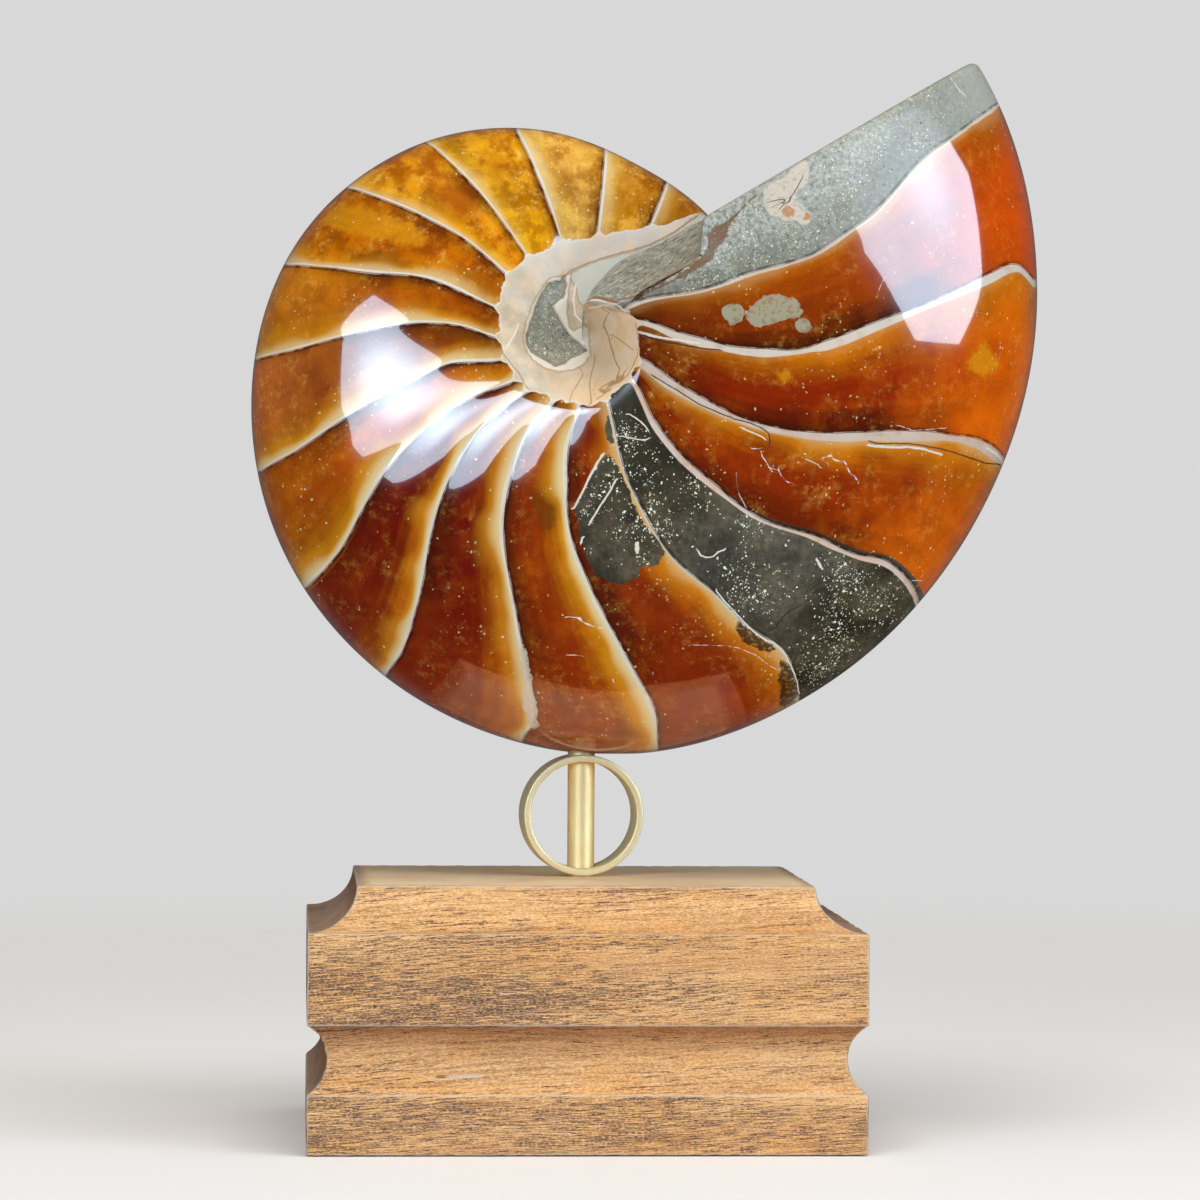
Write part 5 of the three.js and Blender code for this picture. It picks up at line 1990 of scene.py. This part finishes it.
@dataclass
class SupportRod:
    """The brass rod, from its hole in the base up into the shell."""

    x: float = 0.6
    diameter: float = 5.0
    bottom: float = 32.6
    top: float = 79.7
    chamfer: float = 0.4
    sides: int = 96
    levels: int = 48
    sharp_degrees: float = 30.0

    def build(self) -> bpy.types.Object:
        """Builds and dresses the rod.

        Returns:
            The piece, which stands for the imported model's node.
        """
        radius, count = self.diameter / 2.0, self.sides
        heights = np.linspace(self.bottom + self.chamfer, self.top - self.chamfer, self.levels)
        profile = [(radius - self.chamfer, self.bottom), *((radius, height) for height in heights)]
        profile.append((radius - self.chamfer, self.top))
        turn = np.linspace(0.0, math.tau, count, endpoint=False)
        points = np.array([(self.x + r * math.cos(a), r * math.sin(a), z) for r, z in profile for a in turn])
        ends = [tuple(reversed(range(count))), tuple(range(len(points) - count, len(points)))]
        piece = mesh_piece("brass_rod", points * MM, walls(count, len(profile)) + ends)
        arc, height = np.tile(turn * radius, len(profile)), points[:, 2]
        store(piece.data, "lay", np.stack([arc, height, np.zeros_like(arc)], axis=1) * MM)
        from_end = np.minimum(height - self.bottom, self.top - height)
        store(piece.data, "arris", smooth_step(1.5 * self.chamfer, 0.0, from_end))
        return dress(piece, self.sharp_degrees, SATIN_BRASS)


@dataclass
class SpacerRing:
    """The brass ring between the base and the shell, bored for the rod."""

    x: float = 0.6
    z: float = 58.65
    diameter: float = 22.3
    wall: float = 1.3
    length: float = 8.0
    lip: float = 0.3
    turn_degrees: float = 5.0
    bore: float = 5.6
    bore_sides: int = 64
    sides: int = 192
    lip_steps: int = 4
    sharp_degrees: float = 30.0

    def section(self) -> list[Place]:
        """The ring's section, with rounded rims.

        Returns:
            Pairs of radius and place along the axis.
        """
        outside, end = self.diameter / 2.0 - self.lip, self.length / 2.0 - self.lip
        inside = self.diameter / 2.0 - self.wall + self.lip
        corners = ((outside, -end, -90.0), (outside, end, 0.0), (inside, end, 90.0), (inside, -end, 180.0))
        outline = []
        for radius, along, start in corners:
            for step in range(self.lip_steps + 1):
                angle = math.radians(start + 90.0 * step / self.lip_steps)
                outline.append((radius + self.lip * math.cos(angle), along + self.lip * math.sin(angle)))
        return outline

    def build(self) -> bpy.types.Object:
        """Builds and dresses the ring.

        Returns:
            The piece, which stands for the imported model's node.
        """
        outline = self.section()
        count = len(outline)
        points, faces = [], []
        for side in range(self.sides):
            turn = math.tau * side / self.sides
            points += [(reach * math.sin(turn), along, -reach * math.cos(turn)) for reach, along in outline]
            onward = (side + 1) % self.sides
            for step in range(count):
                a, b = side * count + step, side * count + (step + 1) % count
                c, d = onward * count + (step + 1) % count, onward * count + step
                faces.append((a, b, c, d))
        ring = mesh_piece("brass_ring", np.array(points) * MM, faces)
        self.bore_through(ring)
        mesh, outer = ring.data, self.diameter / 2.0
        x, y, z = np.array([vertex.co for vertex in mesh.vertices]).T / MM
        radius, from_end = np.hypot(x, z), self.length / 2.0 - np.abs(y)
        store(mesh, "lay", np.stack([radius, np.arctan2(x, -z) * outer, y], axis=1) * MM)
        to_rim = np.minimum(from_end, np.minimum(outer - radius, radius - outer + self.wall))
        close = np.abs(from_end) < 2.0 * self.lip
        store(mesh, "arris", np.where(close, smooth_step(self.lip, 0.0, np.abs(to_rim)), 0.0))
        turn = Matrix.Rotation(math.radians(self.turn_degrees), 4, "Z")
        mesh.transform(Matrix.Translation((self.x * MM, 0.0, self.z * MM)) @ turn)
        mesh.materials.clear()
        return dress(ring, self.sharp_degrees, SATIN_BRASS)

    def bore_through(self, ring: bpy.types.Object) -> None:
        """Cuts the upright bore for the rod.

        Args:
            ring: The ring.
        """
        shape, ends = bmesh.new(), dict.fromkeys(("radius1", "radius2"), self.bore / 2.0 * MM)
        depth = 2.0 * self.diameter * MM
        bmesh.ops.create_cone(shape, cap_ends=True, segments=self.bore_sides, depth=depth, **ends)
        mesh = bpy.data.meshes.new("bore")
        shape.to_mesh(mesh)
        shape.free()
        cutter = bpy.data.objects.new("bore", mesh)
        bpy.context.scene.collection.objects.link(cutter)
        cut_away(ring, cutter)


class Level(NamedTuple):
    """One level of the moulding, from 0 to 1 in its last three."""

    inset: float
    height: float
    flat: float = 1.0  # how plainly flat it is
    edge: float = 0.0  # how near an edge
    groove_shade: float = 0.0  # and how much painted shade darkens it


@dataclass
class WoodenBase:
    """The moulded block: a cove under its top and a scotia groove, mitred round all four sides."""

    width: float = 100.0
    depth: float = 80.0
    height: float = 47.3
    top_inset: float = 8.8
    cove_foot: float = 39.3
    groove_top: float = 23.05
    groove_foot: float = 10.6
    groove_depth: float = 3.4
    arris: float = 0.28
    hole_x: float = 0.6
    hole_diameter: float = 5.6
    hole_depth: float = 15.0
    foot_levels: int = 8
    groove_levels: int = 27
    band_levels: int = 15
    cove_levels: int = 24
    long_side: int = 96
    short_side: int = 76
    cap_rings: int = 16
    wear: float = 0.3
    wear_repeats: float = 0.55  # of the noise, in a millimetre
    tear_reach: float = 4.0
    tear_inset: float = 2.6
    tear_depth: float = 0.8
    tear_repeats: float = 1.4
    tear_rise: Place = (14.0, 20.0)  # heights between which the tear grows to its full size
    upright_edge: float = 0.7  # how near an edge the wood beside an upright one is
    lip_sweep: float = 0.08  # radians of the groove that count as its edge
    sharp_degrees: float = 42.0

    def profile(self) -> list[Level]:
        """The moulding from the underside up.

        Returns:
            Its levels.
        """
        soft, top, inset = self.arris, self.height, self.top_inset
        rows = [Level(soft, 0.0, edge=0.6), Level(0.3 * soft, 0.3 * soft, edge=1.0)]
        rows += [Level(0.0, soft, edge=0.7)]
        rows += [Level(0.0, z) for z in np.linspace(0.9, self.groove_foot - 0.7, self.foot_levels)]
        rows += [Level(0.0, self.groove_foot - soft, edge=0.5), *self.groove()]
        # The lip over the groove gets some painted shade too.
        rows += [Level(0.0, self.groove_top + soft, edge=0.5, groove_shade=0.3)]
        band = np.linspace(self.groove_top + 0.8, self.cove_foot - 0.8, self.band_levels)
        rows += [Level(0.0, z) for z in band]
        rows += [Level(0.0, self.cove_foot - soft, edge=0.5), Level(0.15 * soft, self.cove_foot, 0.6, 1.0)]
        cove = top - self.cove_foot
        for angle in np.linspace(0.0, np.pi / 2.0, self.cove_levels)[1:-1]:
            rows.append(Level(inset * math.sin(angle), top - cove * math.cos(angle), flat=0.0))
        for inward, down, edge in ((0.0, 1.0, 0.8), (0.4, 0.2, 1.0), (1.2, 0.0, 0.7)):
            rows.append(Level(inset + inward * soft, top - down * soft, 0.3, edge))
        return rows

    def groove(self) -> list[Level]:
        """The scotia groove round the waist, an arc.

        Returns:
            Its levels.
        """
        half = (self.groove_top - self.groove_foot) / 2.0
        radius = (half * half + self.groove_depth**2) / (2.0 * self.groove_depth)
        sweep, middle = math.asin(half / radius), self.groove_foot + half
        rows = []
        for angle in np.linspace(-sweep, sweep, self.groove_levels):
            inset = self.groove_depth - radius * (1.0 - math.cos(angle))
            edge = max(0.0, 1.0 - (sweep - abs(angle)) / self.lip_sweep)
            inset = max(inset, 0.12 * self.arris * edge)
            # Painted shade, rising over the groove's upper half, which faces down.
            groove_shade = float(smooth_step(-0.1, 0.9, angle / sweep))
            rows.append(Level(inset, middle + radius * math.sin(angle), 0.0, edge, groove_shade))
        return rows

    def ring(self, inset: float) -> tuple[Array, Array, Array]:
        """One turn round the block, counterclockwise from its front left corner.

        Args:
            inset: How far it is inside the block's widest outline.

        Returns:
            Places in X and Y, a mask of the two ends, and a mask of the upright edges.
        """
        half_x, half_y, soft = self.width / 2.0 - inset, self.depth / 2.0 - inset, self.arris
        corners = ((-half_x, -half_y), (half_x, -half_y), (half_x, half_y), (-half_x, half_y))
        places, ends, edges = [], [], []
        for index, (start, end) in enumerate(zip(corners, corners[1:] + corners[:1])):
            count = self.short_side if index % 2 else self.long_side
            length = math.dist(start, end)
            evenly, near = np.linspace(1.2, length - 1.2, count), (soft, 2.0 * soft)
            places_along = np.concatenate([near, evenly, [length - near[1], length - near[0]]])
            for along in places_along / length:
                places.append(np.array(start) + (np.array(end) - np.array(start)) * along)
                ends.append(float(index % 2))
                beside = min(along, 1.0 - along) * length < 1.5 * soft
                edges.append(self.upright_edge if beside else 0.0)
            places.append(np.array(end) - np.sign(end) * 0.3 * soft)
            ends.append(0.5)
            edges.append(1.0)
        return np.array(places), np.array(ends), np.array(edges)

    def build(self) -> bpy.types.Object:
        """Builds and dresses the base.

        Returns:
            The piece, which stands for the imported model's node.
        """
        levels, looks = [], []
        for level in self.profile():
            places, ends, corners = self.ring(level.inset)
            levels.append(np.column_stack([places, np.full(len(places), level.height)]))
            look = np.tile([level.flat, 0.0, 0.0, level.edge, level.groove_shade], (len(places), 1))
            look[:, 1], look[:, 3] = ends, np.maximum(corners, level.edge)
            looks.append(look)
        self.close_top(levels, looks)
        count, look = len(levels[0]), np.concatenate(looks)
        points = self.worn(np.concatenate(levels), look[:, 3])
        ends = [tuple(range(len(points) - count, len(points))), tuple(reversed(range(count)))]
        piece = mesh_piece("moulded_base", points * MM, walls(count, len(levels)) + ends)
        for index, name in enumerate(("flat", "end_grain", "top", "arris", "groove_shade")):
            store(piece.data, name, look[:, index])
        return dress(piece, self.sharp_degrees, STAINED_WOOD)

    def close_top(self, levels: list[Array], looks: list[Array]) -> None:
        """Adds the rings that close the top in to the rod's hole, and the hole's wall.

        Args:
            levels: The points of the rings so far.
            looks: Their masks: flat, end grain, top, edge and painted groove shade.
        """
        outline, middle = levels[-1][:, :2], (self.hole_x, 0.0)
        spokes = outline - middle
        circle = spokes / np.linalg.norm(spokes, axis=1)[:, None] * self.hole_diameter / 2.0 + middle
        heights = np.full((len(outline), 1), self.height)
        for step in range(1, self.cap_rings + 1):
            places = outline + (circle - outline) * (step / self.cap_rings)
            levels.append(np.column_stack([places, heights]))
        levels.append(np.column_stack([circle, heights - self.hole_depth]))
        looks += [np.tile([0.3, 0.0, 1.0, 0.0, 0.0], (len(outline), 1))] * (self.cap_rings + 1)

    def worn(self, points: Array, edge: Array) -> Array:
        """Rubs the edges down unevenly and tears the groove's left front corner.

        Args:
            points: The vertices in millimetres.
            edge: How near an edge each one is.

        Returns:
            The moved vertices.
        """
        middle = np.array([0.0, 0.0, self.height / 2.0])
        moved = points.copy()
        torn = np.array([self.tear_inset - self.width / 2.0, self.tear_inset - self.depth / 2.0])
        for index, point in enumerate(points):
            uneven = rough.noise(Vector(point * self.wear_repeats))
            amount = self.wear * edge[index] * max(0.0, uneven + 0.25)
            if edge[index] > 0.0:
                inward = middle - point
                moved[index] += inward / np.linalg.norm(inward) * amount
            near = math.hypot(*(point[:2] - torn))
            if near < self.tear_reach and self.groove_foot < point[2] < self.groove_top + 0.5:
                tear = (1.0 - near / self.tear_reach) * (0.6 + 0.6 * smooth_step(*self.tear_rise, point[2]))
                place = point * self.tear_repeats
                x, y, z = (rough.noise(Vector(place + apart)) for apart in (0.0, 31.7, 67.3))
                moved[index] += np.array([abs(x), abs(y), z * 0.5]) * (tear * self.tear_depth)
        moved[:, 2] = np.maximum(moved[:, 2], 0.0)
        return moved


# ---------------------------------------------------------------- the studio


@dataclass(frozen=True)
class FloorPaint(Finish):
    """The plain pale floor, which fades into the world further out."""

    tone: Colour = (0.85, 0.8, 0.74)
    mottle: Colour = (0.81, 0.76, 0.7)
    fade_from: float = 0.1
    fade_to: float = 0.75

    def inputs(self, w: Wiring) -> Made:
        """Wires the floor.

        Args:
            w: The material's tree.

        Returns:
            What the shader's inputs get.
        """
        at = w.surface()
        return {
            "Base Color": w.mix(w.noise(at, 9.0, 4.0), self.tone, self.mottle),
            "Roughness": w.between(w.noise(at, 40.0, 3.0), 0.75, 0.9),
            "Alpha": w.step(w.length(at), self.fade_to, self.fade_from),
            "Specular IOR Level": 0.1,
            "Normal": w.bumps(w.noise(at, 260.0, 3.0), 0.0001),
        }


class BoxShape(Enum):
    """What is cut off a soft light's corners: for each the way across the cut and how far out it lies."""

    RECTANGLE = ()
    OCTAGON = ((0.707, 0.707, 0.5), (-0.707, 0.707, 0.5), (-0.707, -0.707, 0.5), (0.707, -0.707, 0.5))
    LEANING = ((0.577, 0.816, 0.29), (-0.707, 0.707, 0.5), (-0.707, -0.707, 0.62), (0.707, -0.707, 0.5))


@dataclass
class SoftBox:
    """One soft light, placed by its direction from the object and brighter in its middle."""

    name: str
    azimuth: float  # degrees from the camera's own direction, positive to the right
    elevation: float
    distance: float
    width: float
    height: float
    radiance: float  # at its edge
    middle: float = 0.0  # how much more there is in the hot spot
    hot_spot: tuple[float, float] = (0.0, 0.0)  # its place, as shares of the width and height
    hot_reach: float = 0.36
    shape: BoxShape = BoxShape.RECTANGLE
    tint: Colour = (0.78, 0.98, 1.2)
    glossy: bool = True

    def build(self, target: Vector, towards: float) -> bpy.types.Object:
        """Adds the light.

        Args:
            target: What it is aimed at.
            towards: The camera's azimuth about the target, in degrees from +X.

        Returns:
            The light.
        """
        light = bpy.data.lights.new(self.name, "AREA")
        light.shape = "RECTANGLE"
        light.size, light.size_y, light.color = self.width, self.height, self.tint
        light.energy = self.radiance * math.pi * self.width * self.height
        self.soften(light)
        lamp = bpy.data.objects.new(self.name, light)
        bpy.context.scene.collection.objects.link(lamp)
        turn, rise = math.radians(towards + self.azimuth), math.radians(self.elevation)
        way = Vector((math.cos(turn) * math.cos(rise), math.sin(turn) * math.cos(rise), math.sin(rise)))
        lamp.location = target + way * self.distance
        lamp.rotation_euler = way.to_track_quat("Z", "Y").to_matrix().to_euler()
        lamp.visible_camera, lamp.visible_glossy = False, self.glossy
        return lamp

    def soften(self, light: bpy.types.AreaLight) -> None:
        """Cuts the light's corners off and brightens its middle.

        Args:
            light: The light.
        """
        light.use_nodes = True
        light.node_tree.nodes.clear()
        w = Wiring(light.node_tree)
        place = w.put("ShaderNodeNewGeometry")["Parametric"]
        right, up, _ = w.parts(w.vector("SUBTRACT", place, (0.5, 0.5, 0.0)))
        inside: Feed = 1.0
        for across, upward, limit in self.shape.value:
            inside = (right * across + up * upward < limit) * inside
        off = (0.5 + self.hot_spot[0], 0.5 + self.hot_spot[1], 0.0)
        away = w.length(w.vector("SUBTRACT", place, off))
        hot = w.step(away, self.hot_reach, 0.0) * self.middle
        glow = w.put("ShaderNodeEmission", {"Strength": inside * (hot + 1.0)})
        w.put("ShaderNodeOutputLight", {0: glow[0]})


@dataclass
class Studio:
    """The floor, the soft lights, the pale surroundings and the camera."""

    target: Vector = field(default_factory=lambda: Vector((0.0, 0.0, 0.12)))
    camera_at: Vector = field(default_factory=lambda: Vector((-0.0517, -0.925, 0.1034)))
    camera_pitch: float = 89.69
    camera_yaw: float = -3.44
    camera_roll: float = 0.35
    lens: float = 150.0
    floor_radii: tuple[float, ...] = (0.02, 0.08, 0.16, 0.3, 0.5, 0.7, 0.85, 1.0)
    floor_sides: int = 96
    floor_height: float = -0.0002
    boxes: tuple[SoftBox, ...] = (
        SoftBox("left_softbox", -25.0, 12.5, 1.2, 0.76, 0.7, 4.3, 1.3, (-0.1, 0.02), 0.36, BoxShape.LEANING),
        SoftBox("right_softbox", 59.0, 12.5, 1.2, 0.78, 0.72, 5.4, 0.4, (0.0, 0.1), 0.32, BoxShape.OCTAGON),
        SoftBox("top_fill", 10.0, 70.0, 1.6, 1.2, 1.2, 4.4, tint=(1.0, 1.0, 1.0), glossy=False),
    )
    world_seen: float = 0.86
    world_glossy: float = 0.025
    world_behind: float = 0.12
    world_fill: float = 0.36

    def build(self) -> None:
        """Builds everything that isn't the object."""
        scene = bpy.context.scene
        scene.view_settings.view_transform = "Standard"
        self.floor()
        back = self.camera_at - self.target
        towards = math.degrees(math.atan2(back.y, back.x))
        for box in self.boxes:
            box.build(self.target, towards)
        self.world()
        lens = bpy.data.cameras.new("camera")
        lens.lens, lens.sensor_width, lens.clip_end = self.lens, 36.0, 30.0
        camera = bpy.data.objects.new("camera", lens)
        scene.collection.objects.link(camera)
        camera.location = self.camera_at
        aim = Euler((math.radians(self.camera_pitch), 0.0, math.radians(self.camera_yaw))).to_matrix()
        camera.rotation_euler = (aim @ Matrix.Rotation(math.radians(self.camera_roll), 3, "Z")).to_euler()
        scene.camera = camera

    def floor(self) -> None:
        """Lays a round floor under the object."""
        count, faces = self.floor_sides, []
        points = [(0.0, 0.0, self.floor_height)]
        for level, radius in enumerate(self.floor_radii):
            for side in range(count):
                angle = math.tau * side / count
                points.append((radius * math.cos(angle), radius * math.sin(angle), self.floor_height))
                here, onward = 1 + level * count + side, 1 + level * count + (side + 1) % count
                inner = (here - count, here, onward, onward - count)
                faces.append(inner if level else (0, here, onward))
        floor = mesh_piece("floor", np.array(points), faces)
        dress(floor, 30.0, FLOOR_PAINT).visible_glossy = False

    def world(self) -> None:
        """Makes the surroundings pale to the camera, dark in reflections and even in the fill."""
        world = bpy.data.worlds.new("surroundings")
        world.use_nodes = True
        world.node_tree.nodes.clear()
        w = Wiring(world.node_tree)
        path = w.put("ShaderNodeLightPath")
        _, away, _ = w.parts(w.put("ShaderNodeTexCoord")["Generated"])
        mirrored = w.step(away, 0.2, 0.8, self.world_glossy, self.world_behind)
        level = w.between(path["Is Glossy Ray"], self.world_fill, mirrored)
        level = w.between(path["Is Camera Ray"], level, self.world_seen)
        back = w.put("ShaderNodeBackground", {"Strength": level})
        w.put("ShaderNodeOutputWorld", {0: back[0]})
        bpy.context.scene.world = world


FLOOR_PAINT = FloorPaint("floor_paint")


# ---------------------------------------------------------------- assembly


def stand_for(piece: bpy.types.Object, node: str) -> None:
    """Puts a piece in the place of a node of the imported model.

    Args:
        piece: The finished piece.
        node: The node that it stands for.
    """
    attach(piece, "root")
    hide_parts(node)
    LOG.info("built %s for %s with %d faces", piece.name, node, len(piece.data.polygons))


def main() -> None:
    """Builds the pieces in order, then the studio."""
    logging.basicConfig(level=logging.INFO, format="%(name)s: %(message)s")
    stand_for(WoodenBase().build(), "base")
    stand_for(SupportRod().build(), "support_rod")
    stand_for(SpacerRing().build(), "spacer_ring")
    stand_for(Nautilus().build(), "nautilus")
    Studio().build()


if __name__ == "__main__":
    main()
